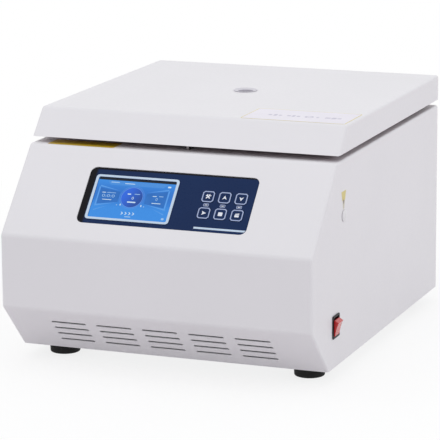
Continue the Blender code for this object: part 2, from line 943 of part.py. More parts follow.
def make_display_panel(plastic):
    back = -case_wall - gap - panel_back_thickness
    bm = bmesh.new()
    outline = rounded_rectangle(
        panel_width + 2 * panel_back_margin, panel_height + 2 * panel_back_margin, panel_corner
    )
    add_prism(bm, outline, "Z", back, -case_wall - gap)
    panel = make_object("display_panel", bm, plastic, panel_frame)
    front = bmesh.new()
    outline = rounded_rectangle(panel_width - 2 * gap, panel_height - 2 * gap, panel_corner - gap)
    add_prism(front, outline, "Z", -case_wall - gap - panel_back_thickness / 2, -panel_recess)
    fuse(panel, front, "front", panel_frame)
    holes = bmesh.new()
    window = rounded_rectangle(window_width + 2 * gap, window_height + 2 * gap, window_corner + gap)
    add_prism(holes, moved(window, (window_shift, window_drop)), "Z", back - overrun, overrun)
    key = rounded_rectangle(key_size + 2 * gap, key_size + 2 * gap, key_corner + gap)
    for place in key_places().values():
        add_prism(holes, moved(key, place), "Z", back - overrun, overrun)
    cut(panel, holes, "holes", panel_frame)
    return panel


def key_places():
    """The keys' centres on the panel, by name."""
    rows = (("menu_key", "up_key", "down_key"), ("start_key", "stop_key", "lid_key"))
    places = {}
    for row, names in enumerate(rows):
        for column, name in enumerate(names):
            across = key_shift + (column - 1) * key_column_pitch
            along = key_drop + (1 / 2 - row) * key_row_pitch
            places[name] = (across, along)
    return places


def make_keys(plastic):
    back = key_back()
    keys = []
    for name, (across, along) in key_places().items():
        bm = bmesh.new()
        outline = rounded_rectangle(key_size, key_size, key_corner)
        add_prism(bm, outline, "Z", back, key_proud - panel_recess)
        frame = panel_frame @ Matrix.Translation((across, along, 0))
        keys.append(make_object(name, bm, plastic, frame))
    return keys


def key_back():
    """Depth of the keys' rear faces, one travel and one gap above the board."""
    return board_front() + key_travel + gap


def board_front():
    return -case_wall - gap - panel_back_thickness - gap - board_boss_height


def make_screen_frame(metal):
    centre = (window_shift, window_drop)
    bm = bmesh.new()
    outline = rounded_rectangle(
        window_width + 2 * frame_border, window_height + 2 * frame_border, frame_corner
    )
    low = gap - panel_recess
    add_prism(bm, moved(outline, centre), "Z", low, low + frame_thickness)
    frame = make_object("screen_frame", bm, metal, panel_frame)
    hole = bmesh.new()
    outline = rounded_rectangle(window_width, window_height, window_corner)
    add_prism(hole, moved(outline, centre), "Z", low - overrun, low + frame_thickness + overrun)
    cut(frame, hole, "window", panel_frame)
    return frame


def make_screen(glass):
    centre = (window_shift, window_drop)
    back_top = -case_wall - gap - panel_back_thickness - gap
    bm = bmesh.new()
    outline = rounded_rectangle(
        window_width + 2 * screen_back_margin, window_height + 2 * screen_back_margin, window_corner
    )
    add_prism(bm, moved(outline, centre), "Z", back_top - screen_back_thickness, back_top)
    screen = make_object("screen", bm, glass, panel_frame)
    front = bmesh.new()
    outline = rounded_rectangle(window_width, window_height, window_corner)
    low = back_top - screen_back_thickness / 2
    add_prism(front, moved(outline, centre), "Z", low, -panel_recess - screen_sink)
    fuse(screen, front, "front", panel_frame)
    return screen


def make_control_board(circuit):
    front = board_front()
    back = front - board_thickness
    half_width = panel_width / 2 + panel_back_margin - board_margin
    half_height = panel_height / 2 + panel_back_margin - board_margin
    bm = bmesh.new()
    add_box(bm, (-half_width, -half_height, back), (half_width, half_height, front))
    board = make_object("control_board", bm, circuit, panel_frame)
    extras = bmesh.new()
    for side in (-1, 1):
        for level in (-1, 1):
            centre = (side * (half_width - board_boss_inset), level * (half_height - board_boss_inset), 0)
            add_cylinder(
                extras, board_boss_radius, front - board_thickness / 2, front + board_boss_height,
                small_steps, "Z", centre,
            )
    low = back - chip_height
    middle = back + board_thickness / 2
    add_box(extras, (-chip_size / 2, -chip_size / 2, low), (chip_size / 2, chip_size / 2, middle))
    low = back - connector_height
    left = key_shift - connector_length / 2
    add_box(
        extras, (left, -connector_width / 2, low), (left + connector_length, connector_width / 2, middle)
    )
    fuse(board, extras, "parts", panel_frame)
    return board


# Lid

def lid_outline(inset=0, tail=0):
    """Side view of the lid as (y, z). Its front lies in the plane of the case's slope."""
    lean = slope_run / slope_rise
    slope_tilt = math.atan2(slope_run, slope_rise)
    low_y = deck_front_y + (lid_z - deck_z) * lean + inset / math.cos(slope_tilt)
    top = lid_top_z - inset
    high_y = low_y + (top - lid_z) * lean
    back = back_y + lid_overhang - inset
    return [(low_y - tail * lean, lid_z - tail), (high_y, top), (back, top), (back, lid_z - tail)]


def make_lid_shell(paint):
    bm = bmesh.new()
    add_prism(bm, lid_outline(), "X", -case_half_width, case_half_width)
    rounded = [edge for edge in bm.edges if max(vert.co.z for vert in edge.verts) > lid_z + bend_radius]
    bevel_edges(bm, rounded, bend_radius, bend_steps)
    shell = make_object("lid_shell", bm, paint, pivot=hinge_axis)
    hollow = bmesh.new()
    half = case_half_width - lid_wall
    add_prism(hollow, lid_outline(lid_wall, overrun), "X", -half, half)
    cut(shell, hollow, "hollow")
    port = bmesh.new()
    add_cylinder(port, port_radius + gap, lid_top_z - lid_wall - overrun, lid_top_z + overrun, turn_steps,
                 centre=rotor_axis)
    cut(shell, port, "port")
    return shell


def make_lid_liner(plastic):
    outline = lid_outline(lid_wall + gap)
    lean = slope_run / slope_rise
    side = [
        outline[0],
        (outline[0][0] + liner_thickness * lean, lid_z + liner_thickness),
        (outline[2][0], lid_z + liner_thickness),
        outline[3],
    ]
    half = case_half_width - lid_wall - gap
    bm = bmesh.new()
    add_prism(bm, side, "X", -half, half)
    liner = make_object("lid_liner", bm, plastic, pivot=hinge_axis)
    holes = bmesh.new()
    low = lid_z - overrun
    high = lid_z + liner_thickness + overrun
    add_cylinder(holes, port_radius + gap, low, high, turn_steps, centre=rotor_axis)
    notch = rectangle(
        (strut_x - notch_room, strut_tip.y - notch_length / 2),
        (strut_x + notch_room, strut_tip.y + notch_length / 2),
    )
    add_prism(holes, notch, "Z", low, high)
    cut(liner, holes, "holes")
    return liner


def make_sight_port(plastic):
    bore = port_radius - port_wall
    foot = lid_z + gap
    top = lid_top_z + gap
    profile = [
        (bore - port_ledge, foot),
        (port_radius, foot),
        (port_radius, top),
        (port_radius + port_flange, top),
        (port_radius + port_flange, top + port_flange_height / 2),
        (port_radius + port_flange / 2, top + port_flange_height),
        (bore, top + port_flange_height),
        (bore, foot + port_ledge),
        (bore - port_ledge, foot + port_ledge),
    ]
    bm = bmesh.new()
    add_turned(bm, profile, turn_steps, centre=rotor_axis)
    return make_object("sight_port", bm, plastic, pivot=hinge_axis)


def make_sight_glass(glass):
    radius = port_radius - port_wall - gap
    low = lid_z + gap + port_ledge + gap
    bm = bmesh.new()
    add_cylinder(bm, radius, low, low + glass_thickness, turn_steps, centre=rotor_axis)
    return make_object("sight_glass", bm, glass, pivot=hinge_axis)


# Lid lock

def striker_y():
    return axis_y - bowl_outer - striker_ahead


def lock_top():
    return deck_z - case_wall - gap


def bolt_z():
    return lock_top() - bolt_drop


def bolt_tip():
    """Where the bolt's nose rests: just clear of the striker's slot."""
    return striker_thickness / 2 + striker_slot_side + running_gap


def make_striker(steel):
    top = lid_z - gap
    half = striker_thickness / 2
    reach = striker_width / 2
    low = bolt_z() - bolt_radius - bolt_window_room - striker_lip
    bm = bmesh.new()
    y = striker_y()
    add_box(bm, (-half, y - reach, low), (half, y + reach, top - striker_foot_height / 2))
    striker = make_object("striker", bm, steel, pivot=hinge_axis)
    foot = bmesh.new()
    add_box(
        foot,
        (-striker_foot_length / 2, y - striker_foot_width / 2, top - striker_foot_height),
        (striker_foot_length / 2, y + striker_foot_width / 2, top),
    )
    fuse(striker, foot, "foot")
    window = bmesh.new()
    add_cylinder(
        window, bolt_radius + bolt_window_room, -half - overrun, half + overrun, small_steps, "X",
        (0, y, bolt_z()),
    )
    cut(striker, window, "window")
    return striker


def make_lock_body(plastic):
    y = striker_y()
    bm = bmesh.new()
    add_box(
        bm,
        (-lock_left, y - lock_width / 2, lock_top() - lock_height),
        (lock_right, y + lock_width / 2, lock_top()),
    )
    body = make_object("lock_body", bm, plastic)
    pocket = bmesh.new()
    half = striker_thickness / 2 + striker_slot_side
    low = bolt_z() - bolt_radius - bolt_window_room - striker_lip - lock_pocket_floor
    add_box(
        pocket,
        (-half, y - striker_width / 2 - striker_slot_end, low),
        (half, y + striker_width / 2 + striker_slot_end, lock_top() + overrun),
    )
    cut(body, pocket, "pocket")
    bore = bmesh.new()
    blind = bolt_tip() - bolt_travel - running_gap
    add_cylinder(bore, bolt_radius + gap, blind, lock_right + overrun, small_steps, "X", (0, y, bolt_z()))
    cut(body, bore, "bore")
    return body


def make_lock_bolt(steel):
    pivot = Vector((bolt_tip(), striker_y(), bolt_z()))
    profile = [
        (0, 0),
        (bolt_radius - bolt_point, 0),
        (bolt_radius, bolt_point),
        (bolt_radius, bolt_length),
        (0, bolt_length),
    ]
    bm = bmesh.new()
    add_turned(bm, profile, small_steps, "X")
    return make_object("lock_bolt", bm, steel, Matrix.Translation(pivot))


def make_lock_solenoid(paint):
    y = striker_y()
    left = lock_right + gap
    bm = bmesh.new()
    add_box(
        bm,
        (left, y - solenoid_width / 2, bolt_z() - solenoid_height / 2),
        (left + solenoid_length, y + solenoid_width / 2, bolt_z() + solenoid_height / 2),
    )
    solenoid = make_object("lock_solenoid", bm, paint)
    bore = bmesh.new()
    add_cylinder(
        bore, bolt_radius + gap, left - overrun, left + solenoid_length - solenoid_end_wall, small_steps, "X",
        (0, y, bolt_z()),
    )
    cut(solenoid, bore, "bore")
    return solenoid


# Hinges

def knuckle(bm, low, high):
    add_cylinder(bm, hinge_barrel_radius, low, high, small_steps, "X", (0, hinge_y, hinge_z))


def hinge_bore(low, high):
    bm = bmesh.new()
    add_cylinder(
        bm, hinge_pin_radius + gap, low - overrun, high + overrun, small_steps, "X", (0, hinge_y, hinge_z)
    )
    return bm


def make_hinge(name, middle, steel):
    """One butt hinge: the leaf on the back panel, the pin, and the leaf on the lid, which it returns."""
    left = middle - hinge_width / 2
    right = middle + hinge_width / 2
    near = back_y + gap
    base_top = hinge_z - hinge_barrel_radius - gap
    bm = bmesh.new()
    add_box(bm, (left, near, base_top - hinge_base_height), (right, near + hinge_leaf_thickness, base_top))
    base = make_object("hinge_base_" + name, bm, steel)
    web = [
        (near, base_top - hinge_barrel_radius),
        (near + hinge_leaf_thickness, base_top - hinge_barrel_radius - hinge_leaf_thickness),
        (hinge_y + hinge_barrel_radius / 2, hinge_z - hinge_barrel_radius / 2),
        (hinge_y, hinge_z),
        (hinge_y - hinge_barrel_radius / 2, hinge_z - hinge_barrel_radius / 2),
        (near, base_top - gap),
    ]
    for end, low in (("left", left), ("right", right - hinge_knuckle)):
        arm = bmesh.new()
        add_prism(arm, web, "X", low, low + hinge_knuckle)
        fuse(base, arm, end + "_web")
        barrel = bmesh.new()
        knuckle(barrel, low, low + hinge_knuckle)
        fuse(base, barrel, end + "_knuckle")
    cut(base, hinge_bore(left, right), "bore")

    near = back_y + lid_overhang + gap
    low = hinge_z + hinge_barrel_radius + hinge_leaf_rise
    bm = bmesh.new()
    add_box(bm, (left, near, low), (right, near + hinge_leaf_thickness, low + hinge_leaf_height))
    leaf = make_object("hinge_leaf_" + name, bm, steel, pivot=hinge_axis)
    neck = bmesh.new()
    inner_left = left + hinge_knuckle + gap
    inner_right = right - hinge_knuckle - gap
    neck_top = low + hinge_leaf_rise
    add_box(neck, (inner_left, near, hinge_z), (inner_right, near + hinge_leaf_thickness, neck_top))
    fuse(leaf, neck, "neck")
    barrel = bmesh.new()
    knuckle(barrel, inner_left, inner_right)
    fuse(leaf, barrel, "knuckle")
    cut(leaf, hinge_bore(left, right), "bore")

    head = hinge_pin_head_height
    profile = [
        (0, left - gap - head),
        (hinge_pin_head_radius, left - gap - head),
        (hinge_pin_head_radius, left - gap),
        (hinge_pin_radius, left - gap),
        (hinge_pin_radius, right + gap),
        (hinge_pin_head_radius, right + gap),
        (hinge_pin_head_radius, right + gap + head),
        (0, right + gap + head),
    ]
    bm = bmesh.new()
    add_turned(bm, profile, small_steps, "X", (0, hinge_y, hinge_z))
    make_object("hinge_pin_" + name, bm, steel)
    return leaf


# Gas spring

def make_strut_cylinder(paint):
    top = strut_length - rod_head_radius - strut_shown
    neck = strut_eye_radius + running_gap
    profile = [
        (0, neck),
        (strut_radius, neck),
        (strut_radius, top),
        (rod_radius + gap, top),
        (rod_radius + gap, top - strut_gland),
        (strut_bore_radius, top - strut_gland),
        (strut_bore_radius, neck + strut_floor),
        (0, neck + strut_floor),
    ]
    bm = bmesh.new()
    add_turned(bm, profile, round_steps)
    cylinder = make_object("strut_cylinder", bm, paint, strut_frame)
    eye = bmesh.new()
    half = strut_eye_width / 2
    add_cylinder(eye, strut_eye_radius, -half, half, round_steps, "X")
    fuse(cylinder, eye, "eye", strut_frame)
    link = bmesh.new()
    link_radius = strut_neck_radius - running_gap
    add_cylinder(link, link_radius, strut_neck_radius, neck + strut_floor / 2, small_steps)
    fuse(cylinder, link, "neck", strut_frame)
    bore = bmesh.new()
    add_cylinder(bore, mount_pin_radius + gap, -half - overrun, half + overrun, small_steps, "X")
    cut(cylinder, bore, "bore", strut_frame)
    return cylinder


def make_strut_rod(steel):
    start = rod_start
    profile = [
        (0, start),
        (rod_piston_radius, start),
        (rod_piston_radius, start + rod_piston_height),
        (rod_radius, start + rod_piston_height),
        (rod_radius, strut_length),
        (0, strut_length),
    ]
    bm = bmesh.new()
    add_turned(bm, profile, small_steps)
    rod = make_object("strut_rod", bm, steel, strut_frame)
    half = strut_eye_width / 2
    cap_low = half + gap + bracket_thickness + gap
    end = [
        (0, -half),
        (rod_head_radius, -half),
        (rod_head_radius, half),
        (rod_stud_radius, half),
        (rod_stud_radius, cap_low),
        (rod_cap_radius, cap_low),
        (rod_cap_radius, cap_low + rod_cap_height),
        (0, cap_low + rod_cap_height),
    ]
    head = bmesh.new()
    add_turned(head, end, round_steps, "X", (0, 0, strut_length))
    fuse(rod, head, "head", strut_frame)
    return rod


def make_lid_bracket(steel):
    """The angle under the lid's top that the gas spring's stud passes through."""
    low_x = strut_x + strut_eye_width / 2 + gap
    high_x = low_x + bracket_thickness
    top = lid_top_z - lid_wall - gap
    hole = rod_stud_radius + stud_room
    half = hole + bracket_margin
    outline = [
        (low_x, strut_tip.z - half),
        (high_x, strut_tip.z - half),
        (high_x, top),
        (low_x - bracket_foot, top),
        (low_x - bracket_foot, top - bracket_thickness),
        (low_x, top - bracket_thickness),
    ]
    bm = bmesh.new()
    add_prism(bm, outline, "Y", strut_tip.y - half, strut_tip.y + half)
    bracket = make_object("strut_lid_bracket", bm, steel, pivot=hinge_axis)
    window = bmesh.new()
    centre = (0, strut_tip.y, strut_tip.z)
    add_cylinder(window, hole, low_x - overrun, high_x + overrun, small_steps, "X", centre)
    cut(bracket, window, "hole")
    return bracket


def make_strut_mount(steel):
    """The stud on the case's right wall that the gas spring's cylinder turns on."""
    plate_x = inner_half_width - gap - bracket_thickness
    half = mount_size / 2
    bm = bmesh.new()
    add_box(
        bm,
        (plate_x, strut_base.y - half, strut_base.z - half),
        (inner_half_width - gap, strut_base.y + half, strut_base.z + half),
    )
    mount = make_object("strut_mount", bm, steel)
    inner = strut_x - strut_eye_width / 2
    outer = strut_x + strut_eye_width / 2 + gap
    profile = [
        (0, inner),
        (mount_pin_radius, inner),
        (mount_pin_radius, outer),
        (mount_shoulder_radius, outer),
        (mount_shoulder_radius, plate_x + bracket_thickness / 2),
        (0, plate_x + bracket_thickness / 2),
    ]
    stud = bmesh.new()
    add_turned(stud, profile, small_steps, "X", (0, strut_base.y, strut_base.z))
    fuse(mount, stud, "stud")
    return mount


# Mains switch and release plug

def switch_barrel_width():
    return 2 * (switch_mouth_half_width + switch_barrel_wall)


def switch_barrel_height():
    return 2 * (switch_mouth_half_height + switch_barrel_wall)


def switch_centre():
    return (front_y + switch_from_front, tray_z + switch_above_tray)


def switch_face_x():
    return case_half_width + gap + switch_bezel_proud


def make_switch_body(plastic):
    centre = switch_centre()
    face = switch_face_x()
    bm = bmesh.new()
    margin = 2 * switch_barrel_wall
    outline = rounded_rectangle(
        max(switch_bezel_width, switch_barrel_width() + margin),
        max(switch_bezel_height, switch_barrel_height() + margin), switch_corner,
    )
    add_prism(bm, moved(outline, centre), "X", case_half_width + gap, face)
    body = make_object("switch_body", bm, plastic)
    barrel = bmesh.new()
    outline = rounded_rectangle(switch_barrel_width(), switch_barrel_height(), switch_corner)
    add_prism(barrel, moved(outline, centre), "X", face - switch_depth, face - switch_bezel_proud / 2)
    fuse(body, barrel, "barrel")
    mouth = bmesh.new()
    outline = rounded_rectangle(
        2 * switch_mouth_half_width, 2 * switch_mouth_half_height, switch_mouth_corner
    )
    add_prism(mouth, moved(outline, centre), "X", face - switch_cavity_depth, face + overrun)
    cut(body, mouth, "mouth")
    return body


def rocker_outline():
    """Side view of the rocker in its middle position, as (x, z) from its axis.

    Its ends lean in by the tilt, so the end that is pressed stands square to the bezel.
    """
    tip = rocker_centre + rocker_hollow
    shoulder_half = rocker_half_height + switch_mouth_corner / 2
    tip_half = shoulder_half - (tip - rocker_shoulder) * math.tan(rocker_tilt)
    return [
        (rocker_centre, 0),
        (tip, tip_half),
        (rocker_shoulder, shoulder_half),
        (-rocker_back, rocker_back_half),
        (-rocker_back, -rocker_back_half),
        (rocker_shoulder, -shoulder_half),
        (tip, -tip_half),
    ]


def make_mains_rocker(plastic):
    y, z = switch_centre()
    half = switch_mouth_half_width - rocker_side_gap
    bm = bmesh.new()
    add_prism(bm, rocker_outline(), "Y", -half, half)
    axis = (switch_face_x() - rocker_axis_depth, y, z)
    frame = Matrix.Translation(axis) @ Matrix.Rotation(rocker_tilt, 4, "Y")
    return make_object("mains_rocker", bm, plastic, frame)


def plug_y():
    return front_y + plug_from_front


def plug_z():
    return upper_knee_z + plug_above_knee


def make_release_plug(plastic):
    seat = case_half_width + gap
    shank = plug_hole_radius - gap
    steps = corner_steps
    dome = []
    for step in range(steps + 1):
        angle = math.pi / 2 * step / steps
        dome.append((plug_radius * math.cos(angle), seat + plug_dome * math.sin(angle)))
    profile = [(0, seat - plug_shank_length), (shank, seat - plug_shank_length), (shank, seat)]
    profile += dome[:-1] + [(0, seat + plug_dome)]
    bm = bmesh.new()
    add_turned(bm, profile, round_steps, "X", (0, plug_y(), plug_z()))
    return make_object("release_plug", bm, plastic, pivot=(seat, plug_y(), plug_z()))


# Back panel, inlet and fan

def inlet_centre():
    return (inlet_from_centre, tray_z + inlet_above_tray)


def fan_centre():
    return (-fan_from_centre, tray_z + fan_above_tray)


def make_back_panel(paint):
    half = inner_half_width - gap
    low = tray_z
    high = deck_z - case_wall - gap
    bm = bmesh.new()
    add_box(bm, (-half, back_y - case_wall, low), (half, back_y, high))
    panel = make_object("back_panel", bm, paint)
    holes = bmesh.new()
    outline = rounded_rectangle(inlet_width + 2 * gap, inlet_height + 2 * gap, inlet_corner)
    add_prism(holes, moved(outline, inlet_centre()), "Y", back_y - case_wall - overrun, back_y + overrun)
    x, z = fan_centre()
    for row in range(grille_rows):
        level = (row - (grille_rows - 1) / 2) * grille_pitch
        reach = math.sqrt(max(grille_radius ** 2 - level ** 2, 0))
        slot = rounded_rectangle(2 * reach, grille_slot_height, grille_slot_height / 2, slot_end_steps)
        add_prism(holes, moved(slot, (x, z + level)), "Y", back_y - case_wall - overrun, back_y + overrun)
    cut(panel, holes, "holes")
    return panel


def make_mains_inlet(plastic):
    centre = inlet_centre()
    face = back_y + gap + inlet_flange_thickness
    bm = bmesh.new()
    outline = rounded_rectangle(inlet_flange_width, inlet_flange_height, inlet_corner)
    add_prism(bm, moved(outline, centre), "Y", back_y + gap, face)
    inlet = make_object("mains_inlet", bm, plastic)
    barrel = bmesh.new()
    outline = rounded_rectangle(inlet_width, inlet_height, inlet_corner)
    add_prism(barrel, moved(outline, centre), "Y", face - inlet_depth, face - inlet_flange_thickness / 2)
    fuse(inlet, barrel, "barrel")
    cavity = bmesh.new()
    outline = rounded_rectangle(
        inlet_width - 2 * inlet_wall, inlet_height - 2 * inlet_wall, inlet_corner - inlet_wall / 2
    )
    floor = face - inlet_cavity_depth
    add_prism(cavity, moved(outline, centre), "Y", floor, face + overrun)
    cut(inlet, cavity, "cavity")
    pins = bmesh.new()
    places = ((-inlet_pin_spread, -inlet_pin_drop), (0, inlet_pin_drop), (inlet_pin_spread, -inlet_pin_drop))
    for across, up in places:
        x = centre[0] + across
        z = centre[1] + up
        add_box(
            pins,
            (x - inlet_pin_width / 2, floor - inlet_wall, z - inlet_pin_height / 2),
            (x + inlet_pin_width / 2, floor + inlet_pin_length, z + inlet_pin_height / 2),
        )
    fuse(inlet, pins, "pins")
    return inlet


def fan_back():
    return back_y - case_wall - gap


def make_fan_frame(plastic):
    x, z = fan_centre()
    back = fan_back()
    front = back - fan_depth
    bm = bmesh.new()
    add_prism(bm, moved(rounded_rectangle(fan_size, fan_size, fan_corner), (x, z)), "Y", front, back)
    frame = make_object("fan_frame", bm, plastic)
    throat = bmesh.new()
    add_cylinder(throat, fan_throat, front - overrun, back + overrun, turn_steps, "Y", (x, 0, z))
    cut(frame, throat, "throat")
    spider = bmesh.new()
    add_cylinder(spider, fan_hub_radius, front, front + fan_plate, turn_steps, "Y", (x, 0, z))
    fuse(frame, fan_arms(x, z, front), "arms")
    fuse(frame, spider, "hub")
    return frame


def fan_arms(x, z, front):
    """Arms from the fan's hub plate to its throat, set between its flat sides."""
    bm = bmesh.new()
    for number in range(fan_strut_count):
        arm = bmesh.new()
        add_box(
            arm,
            (fan_hub_radius - fan_strut_width, front, -fan_strut_width / 2),
            (fan_throat + fan_strut_width / 2, front + fan_plate, fan_strut_width / 2),
        )
        turn = Matrix.Rotation(full_turn * (number + 1 / 2) / fan_strut_count, 4, "Y")
        arm.transform(Matrix.Translation((x, 0, z)) @ turn)
        copy_into(bm, arm)
    return bm


def make_fan_impeller(plastic):
    x, z = fan_centre()
    low = fan_back() - fan_depth + fan_plate + gap
    middle = low + impeller_height / 2
    frame = Matrix.Translation((x, middle, z))
    bm = bmesh.new()
    add_cylinder(bm, impeller_hub_radius, -impeller_height / 2, impeller_height / 2, small_steps, "Y")
    impeller = make_object("fan_impeller", bm, plastic, frame)
    blades = bmesh.new()
    for number in range(blade_count):
        blade = bmesh.new()
        add_box(
            blade,
            (impeller_hub_radius - blade_root, -blade_thickness / 2, -blade_chord / 2),
            (impeller_reach, blade_thickness / 2, blade_chord / 2),
        )
        pitch = Matrix.Rotation(blade_pitch, 4, "X")
        turn = Matrix.Rotation(full_turn * number / blade_count, 4, "Y")
        blade.transform(turn @ pitch)
        copy_into(blades, blade)
    fuse(impeller, blades, "blades", frame)
    return impeller


# Drive board

def drive_centre_y():
    return axis_y - plate_radius - drive_from_plate - drive_depth / 2


def make_drive_board(circuit):
    y = drive_centre_y()
    low = tray_top_z + gap
    board_z = low + drive_boss_height
    half_width = drive_width / 2
    half_depth = drive_depth / 2
    bm = bmesh.new()
    add_box(
        bm,
        (drive_shift - half_width, y - half_depth, board_z),
        (drive_shift + half_width, y + half_depth, board_z + board_thickness),
    )
    board = make_object("drive_board", bm, circuit)
    bosses = bmesh.new()
    boss_top = board_z + board_thickness / 2
    across = half_width - drive_boss_inset
    along = half_depth - drive_boss_inset
    for side in (-1, 1):
        for end in (-1, 1):
            centre = (drive_shift + side * across, y + end * along, 0)
            add_cylinder(bosses, drive_boss_radius, low, boss_top, small_steps, "Z", centre)
    fuse(board, bosses, "bosses")
    return board


def make_heat_sink(aluminium):
    """A comb-shaped extrusion on the drive board."""
    y = drive_centre_y()
    low = tray_top_z + gap + drive_boss_height + board_thickness + gap
    left = drive_shift - sink_width / 2
    pitch = (sink_width - sink_fin_thickness) / (sink_fins - 1)
    outline = [(left + sink_width, low), (left, low)]
    for fin in range(sink_fins):
        near = left + fin * pitch
        far = near + sink_fin_thickness
        if fin > 0:
            outline.append((near, low + sink_base))
        outline.append((near, low + sink_height))
        outline.append((far, low + sink_height))
        if fin < sink_fins - 1:
            outline.append((far, low + sink_base))
    bm = bmesh.new()
    add_prism(bm, outline, "Y", y - sink_depth / 2, y + sink_depth / 2)
    return make_object("heat_sink", bm, aluminium)


def build():
    clear_scene()
    powder_coat = finish("pale_powder_coat", (0.74, 0.73, 0.74), 0.45)
    grey_coat = finish("grey_coat", (0.30, 0.31, 0.33), 0.5)
    galvanised = finish("galvanised_sheet", (0.60, 0.61, 0.62), 0.4, 1.0)
    stainless = finish("brushed_stainless", (0.68, 0.68, 0.67), 0.3, 1.0)
    steel = finish("bright_steel", (0.62, 0.62, 0.62), 0.25, 1.0)
    aluminium = finish("turned_aluminium", (0.72, 0.73, 0.74), 0.35, 1.0)
    rubber = finish("black_rubber", (0.02, 0.02, 0.022), 0.75)
    navy = finish("navy_membrane", (0.015, 0.035, 0.09), 0.3)
    silver = finish("silver_frame", (0.62, 0.70, 0.80), 0.3, 0.6)
    screen_blue = finish("screen_blue", (0.06, 0.27, 0.75), 0.1)
    circuit = finish("circuit_board", (0.02, 0.16, 0.06), 0.5)
    black = finish("black_plastic", (0.02, 0.02, 0.022), 0.4)
    liner_grey = finish("liner_plastic", (0.45, 0.45, 0.46), 0.55)
    red = finish("red_rocker", (0.55, 0.02, 0.01), 0.25)
    white = finish("white_plastic", (0.80, 0.80, 0.78), 0.4)
    clear = finish("sight_glass", (0.60, 0.66, 0.68), 0.05)

    make_case_shell(powder_coat)
    make_base_tray(galvanised)
    make_back_panel(powder_coat)
    make_feet(rubber)
    make_bowl(stainless)
    make_chamber_gasket(rubber)
    make_shaft_boot(rubber)
    make_motor(grey_coat)
    make_motor_plate(galvanised)
    make_dampers(rubber)
    make_display_panel(navy)
    make_screen_frame(silver)
    make_screen(screen_blue)
    make_control_board(circuit)
    make_keys(navy)
    make_lock_body(black)
    make_lock_solenoid(grey_coat)
    make_lock_bolt(steel)
    make_switch_body(black)
    make_mains_rocker(red)
    make_release_plug(white)
    make_mains_inlet(black)
    make_fan_frame(black)
    make_fan_impeller(black)
    make_drive_board(circuit)
    make_heat_sink(aluminium)
    make_strut_mount(steel)

    rotor = make_pivot("rotor_axis", rotor_axis)
    hang([make_rotor_shaft(steel), make_rotor_yoke(aluminium), make_rotor_nut(steel)], rotor)
    hang(make_buckets(aluminium), rotor)

    hinge = make_pivot("lid_hinge_axis", hinge_axis)
    lid_pieces = [
        make_lid_shell(powder_coat),
        make_lid_liner(liner_grey),
        make_sight_port(liner_grey),
        make_sight_glass(clear),
        make_striker(steel),
        make_lid_bracket(steel),
    ]
    for name, middle in (("left", -hinge_spread), ("right", hinge_spread)):
        lid_pieces.append(make_hinge(name, middle, steel))
    hang(lid_pieces, hinge)

    strut = make_pivot("strut_axis", strut_base)
    hang([make_strut_cylinder(black), make_strut_rod(steel)], strut)


build()
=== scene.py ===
# %% [markdown]
# # A bench-top low-speed centrifuge
#
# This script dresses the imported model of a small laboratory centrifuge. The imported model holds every
# piece at its real size, so a piece that is made here takes its place from the node that it stands for.
# The steps go from the camera and the light to the finishes, then from the sheet-metal case to the
# panel, the switch, the lid, the rotor chamber and the back.

# %% Load the frame
import json
import math

import bmesh
import bpy
from mathutils import Matrix, Vector

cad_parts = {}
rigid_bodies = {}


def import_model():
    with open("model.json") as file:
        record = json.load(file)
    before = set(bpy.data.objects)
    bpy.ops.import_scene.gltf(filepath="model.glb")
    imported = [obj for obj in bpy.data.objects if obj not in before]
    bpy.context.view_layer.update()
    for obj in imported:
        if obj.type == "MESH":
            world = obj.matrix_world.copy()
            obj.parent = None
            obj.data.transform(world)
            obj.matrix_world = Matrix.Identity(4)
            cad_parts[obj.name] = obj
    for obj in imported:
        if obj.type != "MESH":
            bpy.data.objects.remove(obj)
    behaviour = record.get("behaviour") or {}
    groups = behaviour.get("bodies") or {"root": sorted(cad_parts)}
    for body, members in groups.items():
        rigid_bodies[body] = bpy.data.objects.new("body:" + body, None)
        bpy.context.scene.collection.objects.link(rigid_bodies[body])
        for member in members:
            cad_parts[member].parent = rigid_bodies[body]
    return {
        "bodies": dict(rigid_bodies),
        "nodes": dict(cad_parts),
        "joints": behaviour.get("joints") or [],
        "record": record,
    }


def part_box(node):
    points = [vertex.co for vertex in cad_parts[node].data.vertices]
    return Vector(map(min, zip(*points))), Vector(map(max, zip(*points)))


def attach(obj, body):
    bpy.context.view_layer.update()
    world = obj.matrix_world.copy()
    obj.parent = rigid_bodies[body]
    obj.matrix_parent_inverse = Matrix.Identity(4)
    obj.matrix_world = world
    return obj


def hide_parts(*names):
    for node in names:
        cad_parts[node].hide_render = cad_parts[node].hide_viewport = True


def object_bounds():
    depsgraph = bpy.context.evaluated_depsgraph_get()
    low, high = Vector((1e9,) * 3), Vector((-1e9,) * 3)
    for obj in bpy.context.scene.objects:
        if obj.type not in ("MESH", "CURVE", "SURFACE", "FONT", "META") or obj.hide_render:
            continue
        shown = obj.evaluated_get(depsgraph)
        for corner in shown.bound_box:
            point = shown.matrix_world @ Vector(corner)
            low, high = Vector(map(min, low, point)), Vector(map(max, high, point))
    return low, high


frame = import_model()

cad_low, cad_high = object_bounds()

# %% [markdown]
# ## Camera
#
# The camera stands a little to the right of the machine and slightly above it. It is far away with a
# long lens, which is why the box's edges hardly converge. A matrix made of the camera's own right, up
# and backward directions places it without any constraint.

# %% Place the camera
view_azimuth = math.radians(21.33)
view_elevation = math.radians(12.66)
view_roll = math.radians(-0.447)
view_distance = 2.9656
view_target = Vector((0.0555, -0.1781, 0.1804))
view_lens = 213.1


